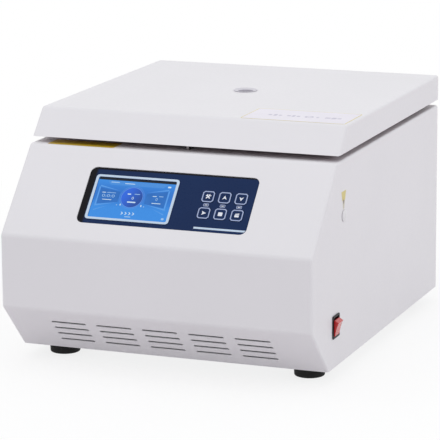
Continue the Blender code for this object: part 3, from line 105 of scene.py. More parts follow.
def place_camera():
    backward = Vector((
        math.sin(view_azimuth) * math.cos(view_elevation),
        -math.cos(view_azimuth) * math.cos(view_elevation),
        math.sin(view_elevation),
    ))
    level_right = Vector((0, 0, 1)).cross(backward).normalized()
    level_up = backward.cross(level_right)
    right = level_right * math.cos(view_roll) + level_up * math.sin(view_roll)
    up = level_up * math.cos(view_roll) - level_right * math.sin(view_roll)
    camera = bpy.data.objects.new("camera", bpy.data.cameras.new("camera"))
    camera.data.lens = view_lens
    turn = Matrix((right, up, backward)).transposed().to_4x4()
    camera.matrix_world = Matrix.Translation(view_target + backward * view_distance) @ turn
    bpy.context.scene.collection.objects.link(camera)
    bpy.context.scene.camera = camera
    print("camera at", [round(value, 3) for value in camera.matrix_world.translation])


place_camera()

# %% [markdown]
# ## Light, floor and background
#
# The photograph is a studio shot on white. Large soft area lamps light the object from above, and a
# plain world fills the shadows. What the camera sees behind the object is white because of the world's
# and the floor's own colour for camera rays, so the white background adds no light to the object.

# %% Set up the studio
lamp_places = {
    "top_softbox": ((-0.3, -0.5, 2.4), 2.4, 11.0),
    "front_softbox": ((-0.9, -2.5, 0.9), 1.6, 0.8),
    "side_softbox": ((2.6, -0.2, 1.0), 1.6, 6.7),
    "rear_softbox": ((0.5, 2.6, 1.6), 1.8, 1.0),
}
fill_strength = 0.82
floor_size = 30.0
shadow_radius, clear_radius = 0.35, 0.95
shadow_glow = 0.80
white = (1.0, 1.0, 1.0, 1.0)
floor_colour = (0.97, 0.97, 0.97, 1.0)
bounce_colour = (0.81, 0.78, 0.80, 1.0)


def add_lamp(name, place, size, power):
    lamp = bpy.data.lights.new(name, "AREA")
    lamp.size = size
    lamp.energy = power
    holder = bpy.data.objects.new(name, lamp)
    holder.location = place
    aim = Vector(place) - Vector((0, 0, cad_high.z / 2))
    holder.rotation_euler = aim.to_track_quat("Z", "Y").to_euler()
    bpy.context.scene.collection.objects.link(holder)


def seen_directly(tree):
    """One where a camera, glossy or transmission ray looks, and zero for the light that is bounced."""
    path = tree.nodes.new("ShaderNodeLightPath")
    first = tree.nodes.new("ShaderNodeMath")
    second = tree.nodes.new("ShaderNodeMath")
    for step in (first, second):
        step.operation = "MAXIMUM"
    tree.links.new(path.outputs["Is Camera Ray"], first.inputs[0])
    tree.links.new(path.outputs["Is Glossy Ray"], first.inputs[1])
    tree.links.new(first.outputs[0], second.inputs[0])
    tree.links.new(path.outputs["Is Transmission Ray"], second.inputs[1])
    return second.outputs[0]


def set_world():
    world = bpy.data.worlds.new("studio")
    world.use_nodes = True
    tree = world.node_tree
    fill = tree.nodes["Background"]
    fill.inputs["Color"].default_value = (0.97, 0.98, 1.0, 1.0)
    fill.inputs["Strength"].default_value = fill_strength
    backdrop = tree.nodes.new("ShaderNodeBackground")
    backdrop.inputs["Color"].default_value = white
    backdrop.inputs["Strength"].default_value = 1.0
    choice = tree.nodes.new("ShaderNodeMixShader")
    tree.links.new(seen_directly(tree), choice.inputs[0])
    tree.links.new(fill.outputs[0], choice.inputs[1])
    tree.links.new(backdrop.outputs[0], choice.inputs[2])
    tree.links.new(choice.outputs[0], tree.nodes["World Output"].inputs["Surface"])
    bpy.context.scene.world = world


def shadow_fade(tree):
    """How white the floor glows: enough near the machine to leave its shadow, and fully further out."""
    place = tree.nodes.new("ShaderNodeTexCoord")
    distance = tree.nodes.new("ShaderNodeVectorMath")
    distance.operation = "LENGTH"
    tree.links.new(place.outputs["Object"], distance.inputs[0])
    fade = tree.nodes.new("ShaderNodeMapRange")
    fade.inputs["From Min"].default_value = shadow_radius
    fade.inputs["From Max"].default_value = clear_radius
    fade.inputs["To Min"].default_value = shadow_glow
    tree.links.new(distance.outputs["Value"], fade.inputs["Value"])
    return fade.outputs["Result"]


def make_floor():
    plane = bmesh.new()
    bmesh.ops.create_grid(plane, x_segments=1, y_segments=1, size=floor_size / 2)
    mesh = bpy.data.meshes.new("floor")
    plane.to_mesh(mesh)
    plane.free()
    floor = bpy.data.objects.new("floor", mesh)
    bpy.context.scene.collection.objects.link(floor)
    paper = bpy.data.materials.new("studio_paper")
    paper.use_nodes = True
    tree = paper.node_tree
    tree.nodes.remove(tree.nodes["Principled BSDF"])
    lit = tree.nodes.new("ShaderNodeBsdfDiffuse")
    lit.inputs["Color"].default_value = floor_colour
    dim = tree.nodes.new("ShaderNodeBsdfDiffuse")
    dim.inputs["Color"].default_value = bounce_colour
    glow = tree.nodes.new("ShaderNodeEmission")
    glow.inputs["Color"].default_value = white
    half = tree.nodes.new("ShaderNodeMixShader")
    tree.links.new(shadow_fade(tree), half.inputs[0])
    tree.links.new(lit.outputs[0], half.inputs[1])
    tree.links.new(glow.outputs[0], half.inputs[2])
    choice = tree.nodes.new("ShaderNodeMixShader")
    tree.links.new(seen_directly(tree), choice.inputs[0])
    tree.links.new(dim.outputs[0], choice.inputs[1])
    tree.links.new(half.outputs[0], choice.inputs[2])
    tree.links.new(choice.outputs[0], tree.nodes["Material Output"].inputs["Surface"])
    mesh.materials.append(paper)


for lamp_name, (lamp_place, lamp_size, lamp_power) in lamp_places.items():
    add_lamp(lamp_name, lamp_place, lamp_size, lamp_power)
set_world()
make_floor()
bpy.context.scene.view_settings.view_transform = "Standard"
print("studio:", len(lamp_places), "softboxes")

# %% [markdown]
# ## Finishes
#
# Each finish starts from one Principled shader whose fixed values sit on its own sockets. Patterns are
# added on top by small functions: a slow drift of tone, a fine grain that bends the light, a change of
# gloss, or turning lines. Patterns read object coordinates in metres, so a scale of 1000 is a pattern
# of about one millimetre, and every piece shows it at the real size.

# %% Build a finish
def new_finish(name, colour, roughness, metallic=0.0, coat=0.0, specular=0.5):
    material = bpy.data.materials.new(name)
    material.use_nodes = True
    shader = material.node_tree.nodes["Principled BSDF"]
    shader.inputs["Base Color"].default_value = (*colour, 1.0)
    shader.inputs["Roughness"].default_value = roughness
    shader.inputs["Metallic"].default_value = metallic
    shader.inputs["Coat Weight"].default_value = coat
    shader.inputs["Specular IOR Level"].default_value = specular
    material.diffuse_color = (*colour, 1.0)
    return material


def add_node(material, kind, **inputs):
    node = material.node_tree.nodes.new("ShaderNode" + kind)
    for name, value in inputs.items():
        node.inputs[name.replace("_", " ")].default_value = value
    return node


def connect(material, source, target):
    material.node_tree.links.new(source, target)


def shader_of(material):
    return material.node_tree.nodes["Principled BSDF"]


def place_source(material, stretch=None, lathe=False):
    """Object coordinates in metres, or the lathe map of a turned piece, stretched along each axis."""
    source = add_node(material, "TexCoord").outputs["Object"]
    if lathe:
        lathe_map = add_node(material, "UVMap")
        lathe_map.uv_map = "lathe"
        source = lathe_map.outputs["UV"]
    if stretch is None:
        return source
    mapping = add_node(material, "Mapping", Scale=stretch)
    connect(material, source, mapping.inputs["Vector"])
    return mapping.outputs["Vector"]


def pattern(material, scale, detail=2.0, stretch=None, lathe=False):
    noise = add_node(material, "TexNoise", Scale=scale, Detail=detail)
    connect(material, place_source(material, stretch, lathe), noise.inputs["Vector"])
    return noise.outputs["Fac"]


def spread(material, factor, low, high, start=0.3, end=0.7):
    """A pattern's value, stretched from its middle range to run from low to high."""
    ramp = add_node(material, "MapRange", From_Min=start, From_Max=end, To_Min=low, To_Max=high)
    connect(material, factor, ramp.inputs["Value"])
    return ramp.outputs["Result"]


def vary_colour(material, factor, other, start=0.35, end=0.65):
    """Blend the finish's colour with another one where the pattern is high."""
    mix = add_node(material, "Mix")
    mix.data_type = "RGBA"
    socket = shader_of(material).inputs["Base Color"]
    if socket.is_linked:
        connect(material, socket.links[0].from_socket, mix.inputs[6])
    else:
        mix.inputs[6].default_value = socket.default_value
    mix.inputs[7].default_value = (*other, 1.0)
    connect(material, spread(material, factor, 0.0, 1.0, start, end), mix.inputs[0])
    connect(material, mix.outputs[2], socket)


def vary_gloss(material, factor, low, high):
    connect(material, spread(material, factor, low, high), shader_of(material).inputs["Roughness"])


def add_relief(material, factor, height, strength=1.0):
    """Let a pattern bend the light as if the surface rose by that height in metres."""
    bump = add_node(material, "Bump", Strength=strength, Distance=height)
    connect(material, factor, bump.inputs["Height"])
    socket = shader_of(material).inputs["Normal"]
    if socket.is_linked:
        connect(material, socket.links[0].from_socket, bump.inputs["Normal"])
    connect(material, bump.outputs["Normal"], socket)


# %% [markdown]
# ### Paint, metal, rubber and plastic
#
# Powder coat has a soft orange peel a millimetre or two across, with a much finer sparkle on top.
# Turned and spun metal shows fine rings, which are noise that is stretched far along the lathe map's
# turn. Zinc-plated sheet has large pale crystals, and moulded plastic and rubber have a fine grain.

# %% Paint and metal finishes
def coated(name, colour, shade, roughness=0.42):
    """Powder coat: orange peel, a finer grain and a faint drift of tone."""
    material = new_finish(name, colour, roughness)
    vary_colour(material, pattern(material, 6.0, 3.0), shade)
    vary_gloss(material, pattern(material, 260.0, 3.0), roughness - 0.06, roughness + 0.08)
    add_relief(material, pattern(material, 620.0, 2.0), 0.00004)
    add_relief(material, pattern(material, 2600.0, 1.0), 0.000008)
    return material


def lathed(name, colour, shade, roughness, lines=9000.0, depth=0.000012):
    """Turned or spun metal with rings, on pieces that carry the lathe map."""
    material = new_finish(name, colour, roughness, 1.0)
    rings = pattern(material, 1.0, 3.0, (3.0, lines, 1.0), lathe=True)
    vary_colour(material, rings, shade)
    vary_gloss(material, rings, roughness - 0.08, roughness + 0.12)
    add_relief(material, rings, depth)
    return material


def brushed(name, colour, shade, roughness, stretch):
    """Metal with straight brush lines, drawn out along the axis with the smallest stretch."""
    material = new_finish(name, colour, roughness, 1.0)
    lines = pattern(material, 1.0, 3.0, stretch)
    vary_colour(material, lines, shade)
    vary_gloss(material, lines, roughness - 0.08, roughness + 0.12)
    add_relief(material, lines, 0.000006)
    return material


def zinc_plated():
    material = new_finish("zinc_plated_sheet", (0.62, 0.64, 0.66), 0.34, 1.0)
    crystals = add_node(material, "TexVoronoi", Scale=130.0, Randomness=1.0)
    connect(material, place_source(material), crystals.inputs["Vector"])
    grey = add_node(material, "RGBToBW")
    connect(material, crystals.outputs["Color"], grey.inputs[0])
    vary_colour(material, grey.outputs[0], (0.50, 0.52, 0.55), 0.2, 0.8)
    vary_gloss(material, grey.outputs[0], 0.28, 0.44)
    add_relief(material, pattern(material, 900.0), 0.000006)
    return material


powder_coat = coated("pale_powder_coat", (0.775, 0.760, 0.785), (0.760, 0.747, 0.770))
grey_enamel = coated("grey_enamel", (0.21, 0.22, 0.24), (0.18, 0.19, 0.21), 0.38)
zinc_sheet = zinc_plated()
spun_steel = lathed("spun_stainless", (0.66, 0.66, 0.65), (0.56, 0.56, 0.56), 0.26, 7000.0)
turned_steel = lathed("turned_steel", (0.62, 0.62, 0.62), (0.50, 0.50, 0.51), 0.22, 9000.0)
turned_aluminium = lathed("turned_aluminium", (0.74, 0.75, 0.76), (0.64, 0.65, 0.67), 0.30, 8000.0)
milled_aluminium = brushed(
    "milled_aluminium", (0.73, 0.74, 0.76), (0.64, 0.65, 0.67), 0.32, (60.0, 4000.0, 4000.0)
)
across_y = (4000.0, 90.0, 4000.0)
bright_steel = brushed("bright_steel_sheet", (0.64, 0.64, 0.64), (0.52, 0.52, 0.53), 0.28, across_y)
print("paint and metal:", len(bpy.data.materials), "materials so far")


# %% Rubber, plastic and glass finishes
def moulded(name, colour, shade, roughness, grain=1500.0, depth=0.00002, specular=0.5):
    material = new_finish(name, colour, roughness, specular=specular)
    grains = pattern(material, grain, 3.0)
    vary_colour(material, pattern(material, 40.0, 4.0), shade)
    vary_gloss(material, grains, roughness - 0.06, roughness + 0.10)
    add_relief(material, grains, depth)
    return material


def clear_glass(name, tint):
    material = new_finish(name, tint, 0.03)
    shader = shader_of(material)
    shader.inputs["Transmission Weight"].default_value = 1.0
    shader.inputs["IOR"].default_value = 1.46
    vary_gloss(material, pattern(material, 35.0, 4.0), 0.01, 0.07)
    return material


def circuit_laminate():
    """Green solder mask with paler tracks between small squares."""
    material = new_finish("circuit_laminate", (0.012, 0.14, 0.055), 0.35, coat=0.3)
    tracks = add_node(material, "TexVoronoi", Scale=260.0)
    tracks.distance = "CHEBYCHEV"
    tracks.feature = "DISTANCE_TO_EDGE"
    connect(material, place_source(material), tracks.inputs["Vector"])
    vary_colour(material, tracks.outputs["Distance"], (0.02, 0.26, 0.10), 0.10, 0.12)
    add_relief(material, tracks.outputs["Distance"], 0.00003)
    return material


black_rubber = moulded(
    "black_rubber", (0.0060, 0.0056, 0.0058), (0.0100, 0.0092, 0.0094), 0.72, 1800.0, 0.00003, 0.3
)
black_plastic = moulded(
    "black_moulded_plastic", (0.0085, 0.0075, 0.0090), (0.0115, 0.0095, 0.0120), 0.42, specular=0.2
)
liner_plastic = moulded("grey_liner_plastic", (0.43, 0.31, 0.34), (0.39, 0.28, 0.31), 0.50, 900.0, 0.00004)
white_plastic = moulded(
    "white_moulded_plastic", (0.78, 0.77, 0.785), (0.74, 0.73, 0.745), 0.35, 2200.0, 0.000006
)
port_plastic = moulded("port_bush_plastic", (0.66, 0.64, 0.69), (0.62, 0.60, 0.65), 0.42, 1800.0)
sight_pane = clear_glass("sight_pane", (0.80, 0.86, 0.86))
circuit_green = circuit_laminate()
print("rubber, plastic and glass:", len(bpy.data.materials), "materials so far")

# %% [markdown]
# ## Shapes
#
# Sheet metal, turned metal and mouldings all begin as a flat outline here. An outline is pushed along
# an axis into a prism, or turned about an axis like work on a lathe. Small helpers round the corners
# of an outline and move its sides inward, which is how a sheet gets an even wall. All sizes are in
# millimetres from here on, as on a drawing, and a mesh goes to metres when it becomes a piece.

# %% Draw outlines
mm = 0.001
touching = 0.001
at = Matrix.Translation


def box(node):
    """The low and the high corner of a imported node, in millimetres."""
    low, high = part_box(node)
    return low / mm, high / mm


def circle(radius, steps=64, centre=(0, 0)):
    turns = [math.tau * step / steps for step in range(steps)]
    return [(centre[0] + radius * math.cos(turn), centre[1] + radius * math.sin(turn)) for turn in turns]


def rounded_rectangle(width, height, corner, centre=(0, 0), steps=8):
    points = []
    for quarter, (right, up) in enumerate(((1, 1), (-1, 1), (-1, -1), (1, -1))):
        for step in range(steps + 1):
            angle = math.pi / 2 * (quarter + step / steps)
            across = right * (width / 2 - corner) + corner * math.cos(angle)
            along = up * (height / 2 - corner) + corner * math.sin(angle)
            points.append((centre[0] + across, centre[1] + along))
    return points


def rectangle(low, high):
    return [low, (high[0], low[1]), high, (low[0], high[1])]


def four_corners(across, along, centre=(0, 0)):
    """The corners of a rectangle that reaches that far to each side of its centre."""
    return [(centre[0] + side * across, centre[1] + end * along) for side in (-1, 1) for end in (-1, 1)]


def filleted(points, radius, steps=4, closed=True):
    """Round an outline's corners. An open outline keeps its two ends as they are."""
    rounded = []
    for number, point in enumerate(points):
        if not closed and number in (0, len(points) - 1):
            rounded.append(tuple(point))
            continue
        corner = Vector(point)
        before = Vector(points[number - 1]) - corner
        after = Vector(points[(number + 1) % len(points)]) - corner
        reach = min(radius, before.length * 0.45, after.length * 0.45)
        start = corner + before.normalized() * reach
        end = corner + after.normalized() * reach
        for step in range(steps + 1):
            share = step / steps
            bend = start * (1 - share) ** 2 + corner * 2 * share * (1 - share) + end * share ** 2
            rounded.append(tuple(bend))
    return rounded


def inset(points, distance):
    """Move every side of a counter-clockwise outline inward by one distance."""
    shifted = []
    for number, point in enumerate(points):
        before = (Vector(point) - Vector(points[number - 1])).normalized()
        after = (Vector(points[(number + 1) % len(points)]) - Vector(point)).normalized()
        first = Vector((-before.y, before.x))
        second = Vector((-after.y, after.x))
        shifted.append(tuple(Vector(point) + (first + second) * distance / (1 + first.dot(second))))
    return shifted


print("outline of a 15 mm key has", len(rounded_rectangle(15, 15, 3)), "points")

# %% Push and turn outlines
axis_rows = {
    "X": ((0, 0, 1), (1, 0, 0), (0, 1, 0)),
    "Y": ((1, 0, 0), (0, 0, 1), (0, 1, 0)),
}


def facing(axis, origin=(0, 0, 0)):
    """A frame whose own Z runs along the named axis."""
    return at(origin) @ Matrix(axis_rows[axis]).to_4x4()


def add_prism(mesh, outline, low, high, frame=Matrix()):
    ends = []
    for level in (low, high):
        ends.append([mesh.verts.new(frame @ Vector((x, y, level))) for x, y in outline])
        mesh.faces.new(ends[-1])
    for number in range(len(outline)):
        near, far = ends
        mesh.faces.new((near[number - 1], near[number], far[number], far[number - 1]))


def add_loop(mesh, outer, inner, low, high, frame=Matrix()):
    """A flat ring between two outlines with the same number of points."""
    rings = []
    for outline, level in ((outer, low), (outer, high), (inner, high), (inner, low)):
        rings.append([mesh.verts.new(frame @ Vector((x, y, level))) for x, y in outline])
    for first, second in zip(rings, rings[1:] + rings[:1]):
        for number in range(len(first)):
            mesh.faces.new((first[number - 1], first[number], second[number], second[number - 1]))


def add_box(mesh, low, high, frame=Matrix()):
    add_prism(mesh, rectangle(low[:2], high[:2]), low[2], high[2], frame)


def add_turned(mesh, profile, frame=Matrix(), steps=96, closed=False):
    """Turn (radius, height) points about the frame's Z and write the lathe map as it goes."""
    lathe_map = mesh.loops.layers.uv.get("lathe") or mesh.loops.layers.uv.new("lathe")
    rings, travel = [], [0.0]
    for number, (radius, height) in enumerate(profile):
        if radius < touching:
            rings.append([mesh.verts.new(frame @ Vector((0, 0, height)))] * steps)
        else:
            rings.append([mesh.verts.new(frame @ Vector((x, y, height))) for x, y in circle(radius, steps)])
        travel.append(travel[-1] + math.dist((radius, height), profile[(number + 1) % len(profile)]))
    for ring in range(len(rings) - (0 if closed else 1)):
        for step in range(steps):
            corners = {}
            for level, turn in ((ring, step), (ring, step + 1), (ring + 1, step + 1), (ring + 1, step)):
                vertex = rings[level % len(rings)][turn % steps]
                corners.setdefault(vertex, (abs(2 * (turn % steps) / steps - 1), travel[level] * mm))
            if len(corners) < 3:
                continue
            face = mesh.faces.new(list(corners))
            for loop in face.loops:
                loop[lathe_map].uv = corners[loop.vert]


def add_cylinder(mesh, radius, low, high, frame=Matrix(), steps=48, edge=0.0):
    reach = min(edge, radius / 2)
    profile = [(0, low), (radius - reach, low), (radius, low + reach)]
    profile += [(radius, high - reach), (radius - reach, high), (0, high)]
    if not reach:
        profile = [(0, low), (radius, low), (radius, high), (0, high)]
    add_turned(mesh, profile, frame, steps)


def mesh_of(add, *shape):
    """A new mesh that starts with one shape."""
    mesh = bmesh.new()
    add(mesh, *shape)
    return mesh


print("axes:", ", ".join(axis_rows))

# %% [markdown]
# ### Pieces
#
# A piece is a mesh with a finish and the body that it moves with. It may also hide the plain nodes
# that it replaces. Sharp edges catch no light, so most pieces get a narrow bevel whose normals are
# weighted by face area, and flat faces then stay flat.

# %% Make, carve and soften pieces
made = []


def close_up(mesh, name):
    """Join a mesh's corners, turn its faces outward and bring it from millimetres to metres."""
    bmesh.ops.remove_doubles(mesh, verts=mesh.verts, dist=touching)
    bmesh.ops.recalc_face_normals(mesh, faces=mesh.faces)
    mesh.transform(Matrix.Scale(mm, 4))
    data = bpy.data.meshes.new(name)
    mesh.to_mesh(data)
    mesh.free()
    return data


def new_piece(name, mesh, finish, body, slot, *nodes):
    data = close_up(mesh, name)
    data.materials.append(finish)
    piece = bpy.data.objects.new(name, data)
    bpy.context.scene.collection.objects.link(piece)
    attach(piece, body)
    if nodes:
        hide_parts(*nodes)
    made.append(name)
    return piece


def carve(piece, mesh, operation="DIFFERENCE"):
    """Cut a solid out of a piece, or join it on, at once."""
    data = close_up(mesh, "cutter")
    tool = bpy.data.objects.new("cutter", data)
    bpy.context.scene.collection.objects.link(tool)
    step = piece.modifiers.new("carve", "BOOLEAN")
    step.solver = "EXACT"
    step.operation = operation
    step.object = tool
    graph = bpy.context.evaluated_depsgraph_get()
    result = bpy.data.meshes.new_from_object(piece.evaluated_get(graph))
    piece.modifiers.clear()
    old = piece.data
    piece.data = result
    name = old.name
    bpy.data.meshes.remove(old)
    result.name = name
    bpy.data.objects.remove(tool)
    bpy.data.meshes.remove(data)
    return piece


def soften(piece, width=0.3, segments=2, angle=40):
    """Bevel what is sharper than the angle, and keep the flat faces flat."""
    if width:
        bevel = piece.modifiers.new("soft_edges", "BEVEL")
        bevel.width = width * mm
        bevel.segments = segments
        bevel.limit_method = "ANGLE"
        bevel.angle_limit = math.radians(angle)
        bevel.use_clamp_overlap = True
    piece.data.shade_smooth()
    normals = piece.modifiers.new("flat_faces", "WEIGHTED_NORMAL")
    normals.keep_sharp = False
    return piece


def dress(node, finish, width=0.3, segments=2):
    """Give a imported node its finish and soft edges. Its mesh stays as it is."""
    piece = frame["nodes"][node]
    for slot in piece.material_slots:
        slot.material = finish
    weld = piece.modifiers.new("one_skin", "WELD")
    weld.merge_threshold = 0.01 * mm
    return soften(piece, width, segments)


print("helpers for pieces are ready")

# %% [markdown]
# ## The case
#
# The real case is one sheet of steel, folded at the chin, the brow and the deck, with its corners
# welded and ground. A prism of the side view gives the outside. Its folds are bevelled to the bend
# radius, and the same outline moved inward by one sheet hollows it.

# %% Read the case's sizes
def middle_of(node):
    low, high = box(node)
    return (low + high) / 2


skin_low, skin_high = box("case_shell")
half_width = skin_high.x
front_y, back_y = skin_low.y, skin_high.y
tray_z, deck_z = skin_low.z, skin_high.z
rotor_axis = Vector((0, middle_of("bowl").y, 0))
gap = 0.3
overrun = 3.0
sheet = 1.5
fold = 3.0
chin_run, chin_rise = 55.1, 57.3
band_height = 86.1
slope_run = 85.6
lower_knee_z = tray_z + chin_rise
upper_knee_z = lower_knee_z + band_height
deck_front_y = front_y + slope_run
slope_rise = deck_z - upper_knee_z
slope_turn = Matrix.Rotation(math.atan2(slope_rise, slope_run), 4, "X")
slope_frame = at((0, front_y, upper_knee_z)) @ slope_turn
chin_turn = Matrix.Rotation(math.atan2(chin_rise, -chin_run), 4, "X")
chin_frame = at((0, front_y + chin_run, tray_z)) @ chin_turn
print("case:", round(2 * half_width), "mm wide, deck at", round(deck_z), "mm")

# %% Fold the case sheet
def case_outline(tail=0.0):
    """Side view of the case as (y, z). The tail lengthens it past the open bottom and back."""
    foot_y = front_y + chin_run * (1 + tail / chin_rise)
    return [
        (back_y + tail, tray_z - tail), (back_y + tail, deck_z), (deck_front_y, deck_z),
        (front_y, upper_knee_z), (front_y, lower_knee_z), (foot_y, tray_z - tail),
    ]


def folded(outline, half, radius, segments, is_fold):
    """A prism along X whose chosen edges are rounded to the bend radius."""
    mesh = mesh_of(add_prism, outline, -half, half, facing("X"))
    folds = [edge for edge in mesh.edges if is_fold(*(vertex.co for vertex in edge.verts))]
    bmesh.ops.bevel(
        mesh, geom=folds, offset=radius, segments=segments, profile=0.5, affect="EDGES", clamp_overlap=True
    )
    return mesh


def hollow_out(piece, outline):
    """Leave one sheet's thickness of a folded piece."""
    room = folded(inset(outline, sheet), half_width - sheet, fold - sheet, 3, lambda first, second: True)
    carve(piece, room)


def case_fold(first, second):
    on_bottom = max(first.z, second.z) < tray_z + fold
    on_back = min(first.y, second.y) > back_y - fold
    return not on_bottom and not on_back


case_skin = new_piece(
    "case_skin", folded(case_outline(), half_width, fold, 6, case_fold), powder_coat, "case",
    "powder_coat", "case_shell"
)
hollow_out(case_skin, case_outline(2 * fold))
print("case skin:", len(case_skin.data.polygons), "faces before its openings")

# %% [markdown]
# ### Openings in the case
#
# The chin has five columns of four slots that feed air to the fan, each with round ends. The deck is
# open over the rotor chamber, over the lock and over the gas spring, and the slope and the right side
# hold the panel, the switch and the release plug.

# %% Cut the openings
slot_length, slot_height = 43.5, 3.6
slot_pitch, slot_row_pitch = 56.7, 12.3
first_slot_row = 19.0
panel_width, panel_height, panel_corner = 207.5, 75.0, 8.0
panel_frame = slope_frame @ at((1.1, 61.9, 0))
striker_place = middle_of("striker")
rod_place = middle_of("strut_lid_bracket")
switch_low, switch_high = box("switch_body")
switch_y, switch_z = middle_of("switch_body").y, middle_of("switch_body").z
plug_place = middle_of("release_plug")
bowl_bore = 147.5
striker_slot_size = (6.6, 20, 1.0)
rod_slot_x = 167.9
through = (-sheet - overrun, overrun)
through_deck = (deck_z - overrun, deck_z + overrun)
through_side = (half_width - sheet - overrun, half_width + overrun)
vents = bmesh.new()
for column in range(-2, 3):
    for row in range(4):
        place = (column * slot_pitch, first_slot_row + row * slot_row_pitch)
        slot = rounded_rectangle(slot_length, slot_height, slot_height / 2, place)
        add_prism(vents, slot, *through, chin_frame)
carve(case_skin, vents)
deck_cut = mesh_of(add_cylinder, bowl_bore, *through_deck, at(rotor_axis), 128)
striker_slot = rounded_rectangle(*striker_slot_size, striker_place.xy)
add_prism(deck_cut, striker_slot, *through_deck)
rod_slot = rounded_rectangle(12, 31, 2.0, (rod_slot_x, rod_place.y + 3.5))
add_prism(deck_cut, rod_slot, *through_deck)
carve(case_skin, deck_cut)
panel_hole = rounded_rectangle(panel_width, panel_height, panel_corner)
carve(case_skin, mesh_of(add_prism, panel_hole, *through, panel_frame))
switch_hole = rounded_rectangle(20.4, 25, 2.3, (switch_y, switch_z))
side_cut = mesh_of(add_prism, switch_hole, *through_side, facing("X"))
plug_hole = facing("X", (0, plug_place.y, plug_place.z))
add_cylinder(side_cut, 5.3, *through_side, plug_hole)
carve(case_skin, side_cut)
soften(case_skin, 0.35)
print("case skin:", len(case_skin.data.polygons), "faces with its openings")

# %% [markdown]
# ## The feet
#
# Four moulded rubber feet carry the machine. Each one is a short cone with a rounded lower rim, and a
# steel screw in its hollow holds it to the tray, which shows from below.

# %% Turn the feet
foot_screw_radius = 4.5


def make_foot(node):
    low, high = box(node)
    place = at(((low.x + high.x) / 2, (low.y + high.y) / 2, 0))
    top = (high.x - low.x) / 2
    rim = top - 0.8
    profile = [(0, 5), (6.5, 5), (7.5, 0), (rim, 0), (top, high.z), (0, high.z)]
    mesh = mesh_of(add_turned, filleted(profile, 1.6, 5, False), place)
    foot = new_piece("rubber_" + node, mesh, black_rubber, "case", "black_rubber", node)
    soften(foot, 0)
    head = [(0, 2.6), (foot_screw_radius, 2.6), (foot_screw_radius, 5), (0, 5)]
    screw = mesh_of(add_turned, filleted(head, 0.8, 4, False), place, 48)
    soften(new_piece("screw_" + node, screw, turned_steel, "case", "bright_steel"), 0)


for foot_node in ("foot_front_left", "foot_front_right", "foot_rear_left", "foot_rear_right"):
    make_foot(foot_node)
print("feet and screws:", made[-8:])

# %% [markdown]
# ## The lid
#
# The lid is the same folded sheet as the case, and its front lies in the plane of the slope. It is
# open underneath, where a plastic liner closes it, and a round port lets a strobe look at the rotor.

# %% Fold the lid
lid_low, lid_high = box("lid_shell")
lean = slope_run / slope_rise
skirt_drop = 0.9


def lid_outline(tail=0.0):
    top = lid_high.z
    return [
        (lid_high.y, lid_low.z - tail), (lid_high.y, top),
        (lid_low.y + (top - lid_low.z) * lean, top), (lid_low.y - tail * lean, lid_low.z - tail),
    ]


def lid_fold(first, second):
    return max(first.z, second.z) > lid_low.z + fold


lid_skin = new_piece(
    "lid_skin", folded(lid_outline(skirt_drop), half_width, fold, 6, lid_fold), powder_coat, "lid",
    "powder_coat", "lid_shell"
)
hollow_out(lid_skin, lid_outline(2 * fold))
port_bore = 13.3
port_cut = mesh_of(add_cylinder, port_bore, lid_high.z - overrun, lid_high.z + overrun, at(rotor_axis))
carve(lid_skin, port_cut)
soften(lid_skin, 0.35)
print("lid skin:", len(lid_skin.data.polygons), "faces")

# %% Seat the sight port
port_low, port_high = box("sight_port")
glass_low, glass_high = box("sight_glass")
port_radius = 13.0
port_place = at(rotor_axis)


def make_sight_port():
    pocket, bore, rim = 11.0, 9.4, 14.5
    seat = lid_high.z + gap
    profile = [
        (9.0, port_low.z), (port_radius, port_low.z), (port_radius, seat), (rim, seat), (rim, port_high.z),
        (bore, lid_high.z - 0.4), (bore, glass_high.z + gap), (pocket, glass_high.z + gap),
        (pocket, glass_low.z - gap), (9.0, glass_low.z - gap),
    ]
    mesh = bmesh.new()
    add_turned(mesh, filleted(profile, 0.6, 3), port_place, closed=True)
    soften(new_piece("port_bush", mesh, port_plastic, "lid", "black_plastic", "sight_port"), 0)
    glass = mesh_of(add_cylinder, glass_high.x, glass_low.z, glass_high.z, port_place, 96, 0.3)
    soften(new_piece("port_glass", glass, sight_pane, "lid", "sight_glass", "sight_glass"), 0)


make_sight_port()
print("sight port:", round(2 * port_high.x, 1), "mm across")

# %% [markdown]
# ## The control panel
#
# A membrane film lies in a shallow window of the slope. It is printed navy, with a black margin that
# is widest at the left and narrows along the top: partly a black print border and partly painted shade
# from the window's walls. The print has to follow the panel and not the world, so the film carries a
# flat map in millimetres, measured from the panel's middle.

# %% Map and print the film
navy = (0.0038, 0.0192, 0.0790)
# Near-black for the film's margin: black print together with painted shade from the window's walls.
print_and_shade_black = (0.0020, 0.0016, 0.0042)
film_front = -0.8
film_back = -1.8
left_margin, left_fade = 7.0, 10.2
top_margin, top_fade = 1.9, 3.0
top_lean = -0.004


def map_flat(piece, frame):
    """Write the flat map: places in millimetres on the frame's own plane."""
    flat = piece.data.uv_layers.new(name="flat")
    inverse = frame.inverted()
    for loop in piece.data.loops:
        flat.data[loop.index].uv = (inverse @ (piece.data.vertices[loop.vertex_index].co / mm)).xy
    piece.data.uv_layers.active = flat
    return piece


def flat_axes(material):
    flat_map = add_node(material, "UVMap")
    flat_map.uv_map = "flat"
    split = add_node(material, "SeparateXYZ")
    connect(material, flat_map.outputs["UV"], split.inputs["Vector"])
    return split.outputs["X"], split.outputs["Y"]


